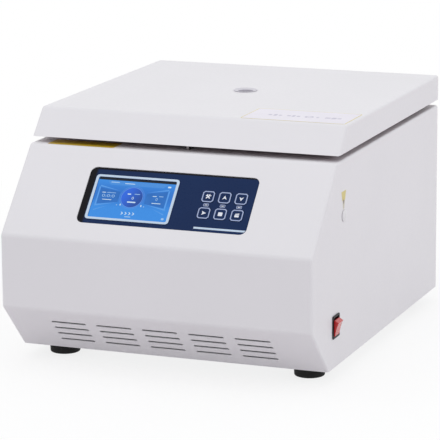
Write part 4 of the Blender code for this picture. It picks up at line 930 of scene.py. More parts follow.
def printed_film():
    material = new_finish("navy_membrane_film", navy, 0.30, specular=0.10)
    vary_colour(material, pattern(material, 30.0, 3.0), (0.0046, 0.0215, 0.0850))
    vary_gloss(material, pattern(material, 900.0, 2.0), 0.24, 0.36)
    add_relief(material, pattern(material, 1400.0), 0.000006)
    # The black margin at the left and along the top, narrowing to the right, is partly black print and
    # partly painted shade from the window's walls.
    across, along = flat_axes(material)
    left_end = -panel_width / 2
    vary_colour(material, across, print_and_shade_black, left_end + left_fade, left_end + left_margin)
    tilt = add_node(material, "Math")
    tilt.operation = "MULTIPLY_ADD"
    tilt.inputs[1].default_value = top_lean
    connect(material, across, tilt.inputs[0])
    connect(material, along, tilt.inputs[2])
    top_end = panel_height / 2
    vary_colour(material, tilt.outputs[0], print_and_shade_black, top_end - top_fade, top_end - top_margin)
    return material


membrane_film = printed_film()
print("film:", membrane_film.name, "with", len(membrane_film.node_tree.nodes), "nodes")

# %% Cut the film and its backing
window_width, window_height, window_corner = 96.5, 52.8, 2.0
window_x, window_y = -42.8, -2.1
key_size, key_corner = 15.0, 3.0
key_pitch, key_row_pitch = 20.0, 21.7
key_x, key_y = 67.5, -2.0
key_rows = (("menu_key", "up_key", "down_key"), ("start_key", "stop_key", "lid_key"))
key_places = {}
for row, names in enumerate(key_rows):
    for column, key_name in enumerate(names):
        key_places[key_name] = (key_x + (column - 1) * key_pitch, key_y + (0.5 - row) * key_row_pitch)


def panel_holes():
    mesh = bmesh.new()
    room = 2 * gap
    window = rounded_rectangle(
        window_width + room, window_height + 5 * gap, window_corner + gap, (window_x, window_y)
    )
    add_prism(mesh, window, -3 * overrun, overrun, panel_frame)
    for place in key_places.values():
        hole = rounded_rectangle(key_size + room, key_size + room, key_corner + gap, place)
        add_prism(mesh, hole, -3 * overrun, overrun, panel_frame)
    return mesh


film_outline = rounded_rectangle(panel_width - 2 * gap, panel_height - 2 * gap, panel_corner - gap)
film = mesh_of(add_prism, film_outline, film_back, film_front, panel_frame)
display_film = new_piece("display_film", film, membrane_film, "case", "navy_membrane", "display_panel")
carve(display_film, panel_holes())
map_flat(soften(display_film, 0.12), panel_frame)
back_outline = rounded_rectangle(panel_width + 8, panel_height + 8, panel_corner)
backing = mesh_of(add_prism, back_outline, film_back - 2.5, film_back, panel_frame)
display_backing = new_piece("display_backing", backing, black_plastic, "case", "black_plastic")
soften(carve(display_backing, panel_holes()))
print("panel:", made[-2:])

# %% [markdown]
# ### Screen
#
# The display is a flat colour screen behind a pale metal frame. It gives its own light, so its finish
# is an emission under a faint gloss, dimmer in a band behind the dial. The dial, the wings and the small
# marks are thin shapes laid on the glass, because printed shapes stay crisp at any distance.

# %% Glowing finishes
def glowing(name, colour, other=None, grain=900.0):
    """A lit display colour with a fine unevenness; the other colour shows where the pattern is high."""
    material = new_finish(name, (0.004, 0.004, 0.005), 0.22, specular=0.12)
    mix = add_node(material, "Mix")
    mix.data_type = "RGBA"
    mix.inputs[6].default_value = (*colour, 1.0)
    mix.inputs[7].default_value = (*(other or [value * 0.88 for value in colour]), 1.0)
    connect(material, spread(material, pattern(material, grain), 0.0, 1.0), mix.inputs[0])
    connect(material, mix.outputs[2], shader_of(material).inputs["Emission Color"])
    shader_of(material).inputs["Emission Strength"].default_value = 1.0
    return material


def fade_light(material, place, start, end, colour, most=1.0):
    """Let a lit colour turn into another one between two places."""
    light = shader_of(material).inputs["Emission Color"]
    fade = add_node(material, "Mix")
    fade.data_type = "RGBA"
    connect(material, light.links[0].from_socket, fade.inputs[6])
    fade.inputs[7].default_value = (*colour, 1.0)
    ramp = add_node(material, "MapRange", From_Min=start, From_Max=end, To_Max=most)
    ramp.interpolation_type = "SMOOTHSTEP"
    connect(material, place, ramp.inputs["Value"])
    connect(material, ramp.outputs["Result"], fade.inputs[0])
    connect(material, fade.outputs[2], light)
    return material


band_rise = 6
band_start, band_end = 20, 3
dial_start, dial_end = -14, 16


def screen_light():
    """The screen is dimmer in a wide band behind the dial."""
    material = glowing("screen_light", (0.043, 0.270, 0.760), (0.037, 0.245, 0.720))
    height = flat_axes(material)[1]
    for operation, band_middle in (("SUBTRACT", window_y + band_rise), ("ABSOLUTE", 0)):
        step = add_node(material, "Math")
        step.operation = operation
        step.inputs[1].default_value = band_middle
        connect(material, height, step.inputs[0])
        height = step.outputs[0]
    return fade_light(material, height, band_start, band_end, (0.018, 0.130, 0.520), 0.62)


def dial_light():
    """The dial is bright at its upper left and dim at its lower right."""
    material = glowing("dial_light", (0.026, 0.140, 0.730), (0.024, 0.130, 0.690))
    slant = add_node(material, "VectorMath")
    slant.operation = "DOT_PRODUCT"
    slant.inputs[1].default_value = dial_slope
    connect(material, place_source(material), slant.inputs[0])
    middle = (panel_frame @ Vector((*dial_place, 0))).dot(dial_slope)
    start, end = (middle + dial_start) * mm, (middle + dial_end) * mm
    return fade_light(material, slant.outputs["Value"], start, end, (0.016, 0.072, 0.330))


def on_screen(across, along):
    """A place on the screen, given as shares of its width and height from the lower left."""
    return (window_x + (across - 0.5) * window_width, window_y + (along - 0.5) * window_height)


dial_place = on_screen(0.486, 0.546)
dial_slope = Vector((1, 0, -0.7))
screen_blue = screen_light()
dial_blue = dial_light()
rim_blue = glowing("rim_blue", (0.120, 0.290, 0.790))
wing_blue = glowing("wing_blue", (0.020, 0.142, 0.480), (0.026, 0.165, 0.540), 120.0)
ray_blue = glowing("ray_blue", (0.105, 0.350, 0.820))
band_blue = glowing("band_blue", (0.066, 0.280, 0.740))
mark_white = glowing("mark_white", (0.62, 0.80, 0.95))
mark_pale = glowing("mark_pale", (0.33, 0.55, 0.86))
# A near-black glow for the strip of painted shadow that the frame casts across the top of the screen.
top_shadow_black = glowing("top_shadow_black", (0.006, 0.010, 0.018))
print("screen finishes:", len(bpy.data.materials), "materials so far")

# %% Seat the screen and its frame
glass_front = -1.0

window_place = (window_x, window_y)
glass_width, glass_height = window_width + 0.3, window_height + 1.2
glass_outline = rounded_rectangle(glass_width, glass_height, window_corner, window_place)
screen = mesh_of(add_prism, glass_outline, film_back - 2.8, glass_front, panel_frame)
lit_screen = new_piece("lit_screen", screen, screen_blue, "case", "screen", "screen")
map_flat(soften(lit_screen, 0.1), panel_frame)

silver_paint = moulded("silver_frame_paint", (0.54, 0.66, 0.80), (0.50, 0.62, 0.77), 0.30, 2400.0, 0.000006)
frame_border = 3.35
frame_outline = rounded_rectangle(
    window_width + 2 * frame_border, window_height + 2 * frame_border, 4, window_place
)
bezel = mesh_of(add_loop, frame_outline, glass_outline, film_front + gap, 0.3, panel_frame)
soften(new_piece("screen_bezel", bezel, silver_paint, "case", "silver_frame", "screen_frame"), 0.22, 3)
print("screen:", round(window_width, 1), "x", round(window_height, 1), "mm")

# %% Draw the screen's picture
def lay(name, outlines, finish, slot="screen", low=glass_front, height=0.03):
    """Thin shapes laid on the panel."""
    mesh = bmesh.new()
    for outline in outlines:
        add_prism(mesh, outline, low, low + height, panel_frame)
    return new_piece(name, mesh, finish, "case", slot)


def bar(across, along, width, height=0.9):
    return rounded_rectangle(width, height, height * 0.4, on_screen(across, along), 2)


def ring_band(centre, radius, width, low, height, mesh):
    outer, inner = circle(radius, 64, centre), circle(radius - width, 64, centre)
    add_loop(mesh, outer, inner, low, low + height, panel_frame)


def wing(side):
    """One half of the bow tie, from the middle out to the screen's edge."""
    shape = ((0.17, 0.668), (0.43, 0.748), (0.43, 0.340), (0.17, 0.412))
    return [on_screen(0.49 + side * across, along) for across, along in shape]


def ray(side, start, end, width=0.014):
    first = on_screen(0.49 + side * start[0], start[1])
    second = on_screen(0.49 + side * end[0], end[1])
    third = on_screen(0.49 + side * end[0], end[1] - width * 2.4)
    return [first, second, third]


def chevron(across, along=0.142, size=1.6):
    x, y = on_screen(across, along)
    shape = ((-1, 1.1), (-0.2, 1.1), (0.9, 0), (-0.2, -1.1), (-1, -1.1), (0.1, 0))
    return [(x + size * right, y + size * up) for right, up in shape]


# A near-black band across the top of the glass: painted shadow that the frame casts on the screen.
lay("screen_top_shadow", [rectangle(on_screen(0.003, 0.950), on_screen(0.997, 1.010))], top_shadow_black)
header = [on_screen(*place) for place in ((0.12, 0.935), (0.17, 0.835), (0.85, 0.835), (0.90, 0.935))]
lay("screen_wings", [wing(-1), wing(1)], wing_blue)
lay("screen_header", [header], band_blue)
rays = []
ray_ends = ((0.436, 0.750), (0.452, 0.79), (0.452, 0.27), (0.436, 0.315))
for side in (-1, 1):
    rays += [ray(side, (0.18, 0.695), (0.44, 0.810)), ray(side, (0.19, 0.397), (0.44, 0.318))]
    rays += [ray(side, (0.28, 0.310), (0.45, 0.190), 0.010)]
    rays.append([on_screen(0.49 + side * x, y) for x, y in ray_ends])
lay("screen_rays", rays, ray_blue)
lay("screen_dial", [circle(12.9, 64, dial_place)], dial_blue, height=0.05)
rim = bmesh.new()
ring_band(dial_place, 13.6, 0.7, glass_front, 0.07, rim)
ring_band(dial_place, 15.2, 0.35, glass_front, 0.05, rim)
new_piece("screen_dial_rim", rim, rim_blue, "case", "screen")
marks = [chevron(0.418 + 0.048 * step) for step in range(4)]
marks += [bar(0.922, 0.868, 4.0, 2.0), bar(0.412, 0.885, 12.5, 0.8)]
marks += [bar(0.442, 0.629, 4.4, 1.5), bar(0.495, 0.430, 10.5, 1.6)]
marks += [bar(0.115, 0.631, 4.4), bar(0.175, 0.455, 11.5, 0.8), bar(0.768, 0.616, 5.0)]
marks += [bar(0.810, 0.442, 11.0), bar(0.365, 0.352, 1.4, 2.6), bar(0.630, 0.354, 1.5, 2.6)]
lay("screen_marks", marks, mark_white, height=0.08)
faint = [bar(0.543, 0.636, 6.6), bar(0.21, 0.633, 11.0, 0.7), bar(0.852, 0.621, 5.4)]
faint += [bar(0.500, 0.062, 7.5, 1.2), bar(0.222, 0.900, 10.5, 1.3)]
faint += [bar(0.319, 0.339, 1.2, 1.4), bar(0.667, 0.339, 1.2, 1.4)]
faint += [bar(0.945, 0.070, 3.5, 2.6)]
lay("screen_faint_marks", faint, mark_pale, height=0.08)
print("screen picture:", len(made) - made.index("screen_top_shadow"), "layers")


# %% Set the screen's numbers
def add_numbers(name, text, place, size, finish, stretch=1.0):
    """Plain digits, made from Blender's own font and laid on the screen."""
    font = bpy.data.curves.new(name, "FONT")
    font.body = text
    font.size = size
    font.align_x = "CENTER"
    font.align_y = "CENTER"
    font.extrude = 0.02
    font.resolution_u = 3
    source = bpy.data.objects.new(name, font)
    bpy.context.scene.collection.objects.link(source)
    graph = bpy.context.evaluated_depsgraph_get()
    letters = bpy.data.meshes.new_from_object(source.evaluated_get(graph))
    bpy.data.objects.remove(source)
    mesh = bmesh.new()
    mesh.from_mesh(letters)
    bpy.data.meshes.remove(letters)
    place = at((*place, glass_front + 0.08)) @ Matrix.Diagonal((stretch, 1, 1, 1))
    mesh.transform(panel_frame @ place)
    return new_piece(name, mesh, finish, "case", "screen")


add_numbers("timer_digits", "0:0:0", on_screen(0.182, 0.547), 5.4, mark_pale, 1.55)
add_numbers("speed_digit", "0", on_screen(0.499, 0.529), 5.2, mark_white, 1.1)
add_numbers("force_digit", "0", on_screen(0.803, 0.541), 5.2, mark_pale, 1.1)
print("numbers:", made[-3:])

# %% [markdown]
# ### Keys
#
# Six keys are printed on the film, each with a pale outline whose corners are cut, and a white sign.
# They move a little when they are pressed, so every key has its own cap, and its print rides on it.

# %% Shape the key signs
def scaled(points, size):
    return [(x * size, y * size) for x, y in points]


def turned(points, degrees):
    cosine, sine = math.cos(math.radians(degrees)), math.sin(math.radians(degrees))
    return [(x * cosine - y * sine, x * sine + y * cosine) for x, y in points]


def cut_square(size, cut):
    half = size / 2
    near = half - cut
    return [
        (half, -near), (half, near), (near, half), (-near, half),
        (-half, near), (-half, -near), (-near, -half), (near, -half),
    ]


arrow = scaled(((0, 1), (0.95, -0.85), (0, -0.28), (-0.95, -0.85)), 2.9)
handle = rounded_rectangle(1.3, 6.0, 0.4, (0, -0.3), 2)
hammer_head = rounded_rectangle(3.0, 1.6, 0.4, (0, 2.3), 2)
spanner_jaw = (
    (-1, -0.6), (1, -0.6), (1.2, 0.9), (0.45, 0.9), (0.4, 0.1), (-0.4, 0.1), (-0.45, 0.9), (-1.2, 0.9)
)
jaw = [(x, y + 2.4) for x, y in scaled(spanner_jaw, 1.25)]
key_signs = {
    "menu_key": [turned(handle, 45), turned(hammer_head, 45), turned(handle, -45), turned(jaw, -45)],
    "up_key": [arrow],
    "down_key": [turned(arrow, 180)],
    "start_key": [scaled(((1, 0), (-0.8, 0.88), (-0.5, 0), (-0.8, -0.88)), 3.0)],
    "stop_key": [rounded_rectangle(5.2, 4.8, 0.5, steps=2)],
    "lid_key": [
        rounded_rectangle(5.2, 2.8, 0.4, (0, -1.0), 2),
        scaled(((-0.95, 0.25), (0.95, 0.45), (0.95, 1.0), (-0.7, 0.75)), 2.7),
    ],
}
print("signs:", {name: len(shapes) for name, shapes in key_signs.items()})

# %% Make the keys
key_print = moulded("pale_key_print", (0.33, 0.40, 0.62), (0.36, 0.43, 0.64), 0.35, 2400.0, 0.000004)
white_print = moulded("white_print", (0.78, 0.80, 0.86), (0.74, 0.77, 0.84), 0.35, 2400.0, 0.000004)
key_front = -0.4
key_back = -4.1


def make_key(name, place):
    body = "pressed_" + name
    place_frame = panel_frame @ at((*place, 0))
    cap = bmesh.new()
    add_prism(cap, rounded_rectangle(key_size, key_size, key_corner), key_back, key_front, place_frame)
    cap = new_piece(name + "_cap", cap, membrane_film, body, "navy_membrane", name)
    map_flat(soften(cap, 0.15), panel_frame)
    outer = cut_square(14.4, 2.2)
    outline = mesh_of(add_loop, outer, inset(outer, 1.25), key_front, key_front + 0.05, place_frame)
    new_piece(name + "_outline", outline, key_print, body, "silver_frame")
    sign = bmesh.new()
    for number, shape in enumerate(key_signs[name]):
        add_prism(sign, shape, key_front, key_front + 0.05 + 0.01 * number, place_frame)
    new_piece(name + "_sign", sign, white_print, body, "silver_frame")


for key_name, key_place in key_places.items():
    make_key(key_name, key_place)

tags = bmesh.new()
tag_dashes = []
for column in range(-1, 2):
    tag_place = (key_x + column * key_pitch, key_y)
    outer = rounded_rectangle(6.4, 3.9, 0.9, tag_place, 3)
    add_loop(tags, outer, inset(outer, 0.7), film_front, film_front + 0.05, panel_frame)
    tag_dashes.append(rounded_rectangle(3.4, 0.9, 0.4, tag_place, 2))
new_piece("panel_tags", tags, key_print, "case", "silver_frame")
lay("panel_tag_dashes", tag_dashes, white_print, slot="silver_frame", low=film_front, height=0.05)
line_low, line_high = -33.75, -31.35
line_shape = [(40.3, line_low), (101.2, line_low), (102.6, line_high), (40.3, line_high)]
lay("panel_line", [line_shape], silver_paint, slot="silver_frame", low=film_front, height=0.08)
print("keys:", len(key_places), "with", len(made), "pieces in all so far")

# %% [markdown]
# ## Switch and release plug
#
# The mains rocker stands in a black bezel on the right side. Its face is hollowed, so the half that is
# not pressed sticks out. The model rests with its lower half pressed, and the whole rocker is turned by
# that tilt. A white plug above it covers the cord that opens the lid in a power cut.

# %% Make the switch
rocker_tilt = math.radians(16)
switch_face = switch_high.x
red_plastic = moulded(
    "red_rocker_plastic", (0.56, 0.020, 0.020), (0.52, 0.016, 0.017), 0.18, 2600.0, 0.000002, 0.35
)
shader_of(red_plastic).inputs["Coat Weight"].default_value = 0.28
shader_of(red_plastic).inputs["Coat Roughness"].default_value = 0.12
pink_print = moulded("pink_print", (0.60, 0.24, 0.24), (0.56, 0.22, 0.22), 0.30, 2600.0, 0.000002)


def make_switch():
    centre = (switch_y, switch_z)
    mouth = rounded_rectangle(17.2, 21.8, 1.0, centre)
    rim = rounded_rectangle(23, 27, 2.0, centre)
    bezel = mesh_of(add_loop, rim, mouth, half_width + gap, switch_face, facing("X"))
    rim_piece = new_piece("switch_bezel", bezel, black_plastic, "case", "black_plastic", "switch_body")
    soften(rim_piece, 0.5, 3)
    barrel = bmesh.new()
    wall = rounded_rectangle(19.8, 24.4, 2.0, centre)
    add_loop(barrel, wall, mouth, switch_low.x, half_width + gap, facing("X"))
    add_prism(barrel, mouth, switch_low.x, switch_low.x + 2, facing("X"))
    soften(new_piece("switch_barrel", barrel, black_plastic, "case", "black_plastic"))


def make_rocker():
    """The rocker's ends lean in by the tilt, so the pressed one stands square to the bezel."""
    middle, hollow = 8.2, 0.6
    shoulder, shoulder_half = 3.5, 9.88
    back, back_half = -4.0, 4.5
    tip = middle + hollow
    tip_half = shoulder_half - (tip - shoulder) * math.tan(rocker_tilt)
    steps = 24
    shares = [1 - 2 * step / steps for step in range(steps + 1)]
    face = [(middle + hollow * share ** 2, share * tip_half) for share in shares]
    rear = [(shoulder, -shoulder_half), (back, -back_half), (back, back_half), (shoulder, shoulder_half)]
    axis = at((switch_face - 5.5, switch_y, switch_z))
    place = axis @ Matrix.Rotation(rocker_tilt, 4, "Y")
    mesh = mesh_of(add_prism, face + rear, -8.1, 8.1, place @ facing("Y"))
    rocker = new_piece("red_rocker", mesh, red_plastic, "rocker", "red_rocker", "mains_rocker")
    soften(rocker, 0.35, 3, 30)
    signs = bmesh.new()
    for share in (0.6, -0.6):
        slope = math.atan2(2 * hollow * share, tip_half)
        at_sign = place @ at((middle + hollow * share ** 2, 0, share * tip_half))
        at_sign = at_sign @ Matrix.Rotation(slope, 4, "Y") @ facing("X")
        if share > 0:
            stroke = rounded_rectangle(0.9, 3.6, 0.3, steps=2)
            add_prism(signs, stroke, -0.1, 0.06, at_sign)
        else:
            add_loop(signs, circle(1.9, 32), circle(1.2, 32), -0.1, 0.06, at_sign)
    new_piece("rocker_signs", signs, pink_print, "rocker", "red_rocker")


def make_plug():
    seat = half_width + gap
    centre = facing("X", (0, plug_place.y, plug_place.z))
    plug_low, plug_high = box("release_plug")
    radius = (plug_high.y - plug_low.y) / 2
    dome = [(radius * math.cos(turn), seat + (plug_high.x - seat) * math.sin(turn))
            for turn in [math.pi / 2 * step / 12 for step in range(12)]]
    profile = [(0, plug_low.x), (5.0, plug_low.x), (5.0, seat)] + dome + [(0, plug_high.x)]
    mesh = mesh_of(add_turned, profile, centre, 64)
    soften(new_piece("plug_cap", mesh, white_plastic, "plug", "white_plastic", "release_plug"), 0)


make_switch()
make_rocker()
make_plug()
print("right side:", made[-5:])

# %% [markdown]
# ## Labels
#
# Thin vinyl labels lie on the deck, on the lid and on the right side. They stay plain: only their
# colours, their borders, a row of pale dabs and one pointed tag are there. Vinyl has a soft gloss and a
# very fine texture.

# %% Lay the labels
def printed_vinyl(name, colour, shade, roughness=0.40):
    return moulded(name, colour, shade, roughness, 1800.0, 0.000006)


# The deck label's yellow is darker than the vinyl's own colour: partly real yellow, partly painted shade
# from the lid above it.
yellow_vinyl = printed_vinyl("yellow_vinyl", (0.62, 0.42, 0.012), (0.57, 0.38, 0.010), 0.42)
pale_yellow_vinyl = printed_vinyl("pale_yellow_vinyl", (0.72, 0.62, 0.24), (0.62, 0.52, 0.18))
pale_vinyl = printed_vinyl("pale_vinyl", (0.80, 0.77, 0.84), (0.78, 0.75, 0.82))
cream_vinyl = printed_vinyl("cream_vinyl", (0.74, 0.69, 0.62), (0.71, 0.66, 0.58))
grey_vinyl = printed_vinyl("grey_vinyl", (0.26, 0.21, 0.18), (0.23, 0.19, 0.16))
stem_vinyl = printed_vinyl("stem_vinyl", (0.45, 0.42, 0.32), (0.42, 0.39, 0.29))
vinyl = 0.08


def add_label(name, outline, finish, body, frame, low=0.0, height=vinyl):
    mesh = mesh_of(add_prism, outline, low, low + height, frame)
    return soften(new_piece(name, mesh, finish, body, "powder_coat"), 0.03, 1)


deck_label = [(-168.3, -157.8), (-84.6, -157.8), (-84.6, -129.5), (-168.3, -129.5)]
add_label("deck_label", filleted(deck_label, 2), yellow_vinyl, "case", at((0, 0, deck_z)))
lid_label = rounded_rectangle(127.3, 65.2, 3, (122.5, -89.0))
lid_top = at((0, 0, lid_high.z))
add_label("lid_label_border", lid_label, pale_yellow_vinyl, "lid", lid_top)
add_label("lid_label", inset(lid_label, 1.1), pale_vinyl, "lid", lid_top, vinyl, 0.05)
lilac_print = printed_vinyl("lilac_print", (0.50, 0.47, 0.58), (0.56, 0.53, 0.64))
print_y = -91.6
dabs = [(83.0, 87.3, 5.5), (89.6, 93.8, 9.0), (95.7, 99.7, 5.0), (105.9, 110.5, 5.0), (111.9, 115.6, 8.0)]
dabs += [(117.5, 121.7, 5.0), (141.6, 144.7, 6.0), (151.9, 158.8, 6.0), (160.2, 165.8, 9.0)]
dabs += [(167.2, 171.8, 5.0)]
lid_print = bmesh.new()
for low, high, depth in dabs:
    dab = rounded_rectangle(high - low, depth, 1.0, ((low + high) / 2, print_y), 2)
    add_prism(lid_print, dab, vinyl, vinyl + 0.07, lid_top)
print_ring = lid_top @ at((132.8, print_y, 0))
add_loop(lid_print, circle(5.5, 32), circle(3.3, 32), vinyl, vinyl + 0.07, print_ring)
new_piece("lid_label_print", lid_print, lilac_print, "lid", "powder_coat")
tag_middle, tag_top, tag_split, tag_tip = -137.0, 215.6, 204.6, 194.0
side_face = facing("X", (half_width, tag_middle, 0))


def tag_part(low, high, low_half, high_half):
    """A part of the pointed tag between two heights, with its half width at each."""
    return filleted([(low_half, low), (high_half, high), (-high_half, high), (-low_half, low)], 0.5)


add_label("side_tag", tag_part(tag_tip, tag_top, 1.8, 8.6), cream_vinyl, "case", side_face)
side_marks = {
    "side_tag_field": (tag_part(tag_split, tag_top - 0.4, 5.0, 8.0), pale_yellow_vinyl),
    "side_tag_mark": (tag_part(tag_split - 4.0, tag_split + 0.4, 1.5, 2.8), grey_vinyl),
    "side_tag_stem": (tag_part(tag_tip + 1, tag_split - 4.0, 0.8, 1.3), stem_vinyl),
}
for name, (outline, finish) in side_marks.items():
    add_label(name, outline, finish, "case", side_face, vinyl, 0.05)
print("labels:", made[-8:])

# %% [markdown]
# ## The rotor chamber
#
# Under the lid a spun steel bowl hangs in the deck, with a rubber gasket on its rim. Everything here was
# made on a lathe or is a tube, so each piece is a half profile that is turned about the rotor's axis.
# The lathe map gives the metal its fine rings, which a flat texture couldn't follow.

# %% Turn the bowl and its rubber
def turned_piece(name, profile, finish, body, slot, nodes, place, radius=0.6, closed=True, steps=128):
    mesh = mesh_of(add_turned, filleted(profile, radius, 4, closed), place, steps, closed)
    return soften(new_piece(name, mesh, finish, body, slot, *nodes), 0)


bowl_low, bowl_high = box("bowl")
bowl_radius = 146.0
bowl_wall = 1.2
drain_radius = 23.0
flange_radius = bowl_high.x
flange_z = bowl_high.z - bowl_wall
bowl_floor = bowl_low.z + bowl_wall
on_axis = at(rotor_axis)


def make_bowl():
    outer = bowl_radius + bowl_wall
    corner = filleted([(drain_radius, bowl_low.z), (outer, bowl_low.z), (outer, flange_z)], 22, 10, False)
    inner = filleted(
        [(bowl_radius, bowl_high.z), (bowl_radius, bowl_floor), (drain_radius, bowl_floor)], 21, 10, False
    )
    flange = [(flange_radius, flange_z), (flange_radius, bowl_high.z)]
    mesh = mesh_of(add_turned, corner + flange + inner, on_axis, 160, True)
    bowl = new_piece("spun_bowl", mesh, spun_steel, "case", "stainless", "bowl")
    soften(bowl, 0.3, 2, 50)


def make_gasket():
    low, high = box("chamber_gasket")
    inner, outer = bowl_radius + 1.5, high.x
    middle, top = (inner + outer) / 2, high.z
    profile = [
        (inner, low.z), (outer, low.z), (outer, low.z + 1.6), (middle + 2.9, low.z + 2.6),
        (middle + 2.5, top), (middle - 2.5, top), (middle - 2.9, low.z + 2.6),
        (inner, low.z + 1.6),
    ]
    turned_piece(
        "chamber_seal", profile, black_rubber, "case", "black_rubber", ("chamber_gasket",), on_axis, 1.4
    )


def make_boot():
    low, high = box("shaft_boot")
    seat = bowl_floor + gap
    profile = [
        (8, low.z), (drain_radius - gap, low.z), (drain_radius - gap, seat), (30, seat),
        (30, seat + 1.5), (26, seat + 2.6), (22, seat + 2.6),
        (20.5, seat + 5.0), (17.5, seat + 3.6), (15.5, seat + 7.4),
        (12.5, seat + 6.2), (10.5, high.z), (8, high.z),
    ]
    turned_piece(
        "bellows_boot", profile, black_rubber, "case", "black_rubber", ("shaft_boot",), on_axis, 1.0
    )


make_bowl()
make_gasket()
make_boot()
print("chamber:", made[-3:])

# %% [markdown]
# ### Rotor
#
# The rotor is a milled aluminium yoke with four arms. Steel pins in the arms carry four buckets that
# hang at rest and swing out flat at speed. A hexagonal nut holds the yoke on the motor's shaft.

# %% Mill the yoke
yoke_high = box("rotor_yoke")[1]
pin_z = 208.0
trunnion_radius = 62.35
arm_inner = 27.0
arm_width = 12.0
hub_half = 34.0
yoke_half = 10.0
hub_radius = 20.0
shaft_radius = 6.0
at_pins = at((0, rotor_axis.y, pin_z))


def quarter_turns():
    return [Matrix.Rotation(math.tau * number / 4, 4, "Z") for number in range(4)]


def yoke_outline():
    tip = yoke_high.x
    quarter = [
        (hub_half, arm_inner), (tip, arm_inner), (tip, arm_inner + arm_width), (arm_inner + arm_width, tip),
        (arm_inner, tip), (arm_inner, hub_half),
    ]
    points = []
    for turn in quarter_turns():
        points += [tuple((turn @ Vector((x, y, 0))).xy) for x, y in quarter]
    return points


def make_yoke():
    mesh = mesh_of(add_prism, filleted(yoke_outline(), 2.2, 4), -yoke_half, yoke_half, at_pins)
    yoke = new_piece("milled_yoke", mesh, milled_aluminium, "rotor", "turned_aluminium", "rotor_yoke")
    hub_top = yoke_high.z - pin_z
    profile = [(0, 0), (hub_radius, 0), (hub_radius, hub_top), (0, hub_top)]
    carve(yoke, mesh_of(add_turned, filleted(profile, 1.5, 4, False), at_pins, 96), "UNION")
    lightening = bmesh.new()
    for turn in quarter_turns():
        diagonal = Matrix.Rotation(math.radians(45), 4, "Z") @ at((34, 0, 0))
        add_cylinder(lightening, 6.5, yoke_half - 4, yoke_half + overrun, at_pins @ turn @ diagonal)
    add_cylinder(lightening, shaft_radius + gap, -yoke_half - overrun, hub_top + overrun, at_pins)
    carve(yoke, lightening)
    soften(yoke, 0.8, 3)
    pins = bmesh.new()
    for turn in quarter_turns():
        for side in (-1, 1):
            place = at_pins @ turn @ at((trunnion_radius, 0, 0)) @ facing("Y")
            near, far = side * (arm_inner - 4), side * (arm_inner + 6)
            add_cylinder(pins, 4.0, min(near, far), max(near, far), place, 48, 0.5)
    soften(new_piece("yoke_pins", pins, turned_steel, "rotor", "bright_steel"), 0)


def make_nut_and_shaft():
    low, high = box("rotor_nut")
    height = high.z - low.z
    place = at((0, rotor_axis.y, low.z))
    nut = mesh_of(add_prism, circle(14, 6), 0, height, place)
    nut = new_piece("hex_nut", nut, turned_steel, "rotor", "bright_steel", "rotor_nut")
    profile = [(12.6, height + overrun), (14.8, height - 1.4), (17, height - 1.4), (17, height + overrun)]
    carve(nut, mesh_of(add_turned, profile, place, 64, True))
    carve(nut, mesh_of(add_cylinder, 5.3, -overrun, 8.4, place))
    soften(nut, 0.4, 3, 20)
    low, high = box("rotor_shaft")
    collar = 197.7
    profile = [
        (0, low.z), (shaft_radius, low.z), (shaft_radius, collar - 4), (14, collar - 4),
        (14, collar), (shaft_radius, collar), (shaft_radius, yoke_high.z), (5, yoke_high.z),
        (5, high.z), (0, high.z),
    ]
    turned_piece("motor_shaft", profile, turned_steel, "rotor", "bright_steel", ("rotor_shaft",), on_axis,
                 0.5, False, 64)


make_yoke()
make_nut_and_shaft()
print("rotor:", made[-4:])


# %% Turn the buckets
def make_bucket(number):
    radius, wall, floor_height = 22.0, 1.8, 3.0
    lip, rise, hang = 23.5, 14.0, 76.0
    place = at_pins @ quarter_turns()[number - 1] @ at((trunnion_radius, 0, 0))
    outside = filleted([(0, -hang), (radius, -hang), (radius, rise - 5.5)], 7, 6, False)
    floor = floor_height - hang
    inside = filleted([(radius - wall, rise), (radius - wall, floor), (0, floor)], 3, 4, False)
    rim = filleted([outside[-1], (lip, rise - 4), (lip, rise), inside[0]], 0.7, 3, False)
    grooves = []
    for level in (-hang + 14, -hang + 17):
        deep = radius - 0.5
        grooves += [(radius, level), (deep, level + 0.5), (deep, level + 1.0), (radius, level + 1.5)]
    mesh = mesh_of(add_turned, outside[:-1] + grooves + rim + inside[1:], place, 96)
    node = "bucket_" + str(number)
    body = "swing_" + node
    soften(new_piece("turned_" + node, mesh, turned_aluminium, body, "turned_aluminium", node), 0)
    bosses = bmesh.new()
    for side in (-1, 1):
        near, far = side * (radius - wall / 2), side * (radius + 4.7)
        end = side * (arm_inner - 4.3)
        ring = [(6.5, near), (6.5, far), (4.3, far), (4.3, end), (0, end), (0, near)]
        add_turned(bosses, filleted(ring, 0.4, 3, False), place @ facing("Y"), 48)
    soften(new_piece("bucket_bosses_" + str(number), bosses, turned_aluminium, body, "turned_aluminium"), 0)


for bucket_number in range(1, 5):
    make_bucket(bucket_number)
print("buckets:", made[-8:])

# %% [markdown]
# ## Under the lid
#
# A plastic liner closes the lid from below. It has a groove where the gasket presses, a notch for the
# gas spring and cross-head screws all round. The striker of the lid's lock hangs down in front of it.

# %% Make screws
def add_screws(name, places, radius, height, body):
    """Domed cross-head screws. Each place is a frame whose Z points out of the surface."""
    heads, crosses = bmesh.new(), bmesh.new()
    dome = [(0, height), (radius * 0.62, height), (radius * 0.92, height * 0.62), (radius, 0), (0, 0)]
    long, thin = radius * 0.55, radius * 0.13
    corner = [(long, thin), (thin, thin), (thin, long)]
    plus = [point for quarter in range(4) for point in turned(corner, 90 * quarter)]
    for place in places:
        add_turned(heads, filleted(dome, radius * 0.2, 3, False), place, 32)
        add_prism(crosses, plus, height * 0.4, height + 1, place)
    screws = new_piece(name, heads, turned_steel, body, "bright_steel")
    carve(screws, crosses)
    return soften(screws, 0)


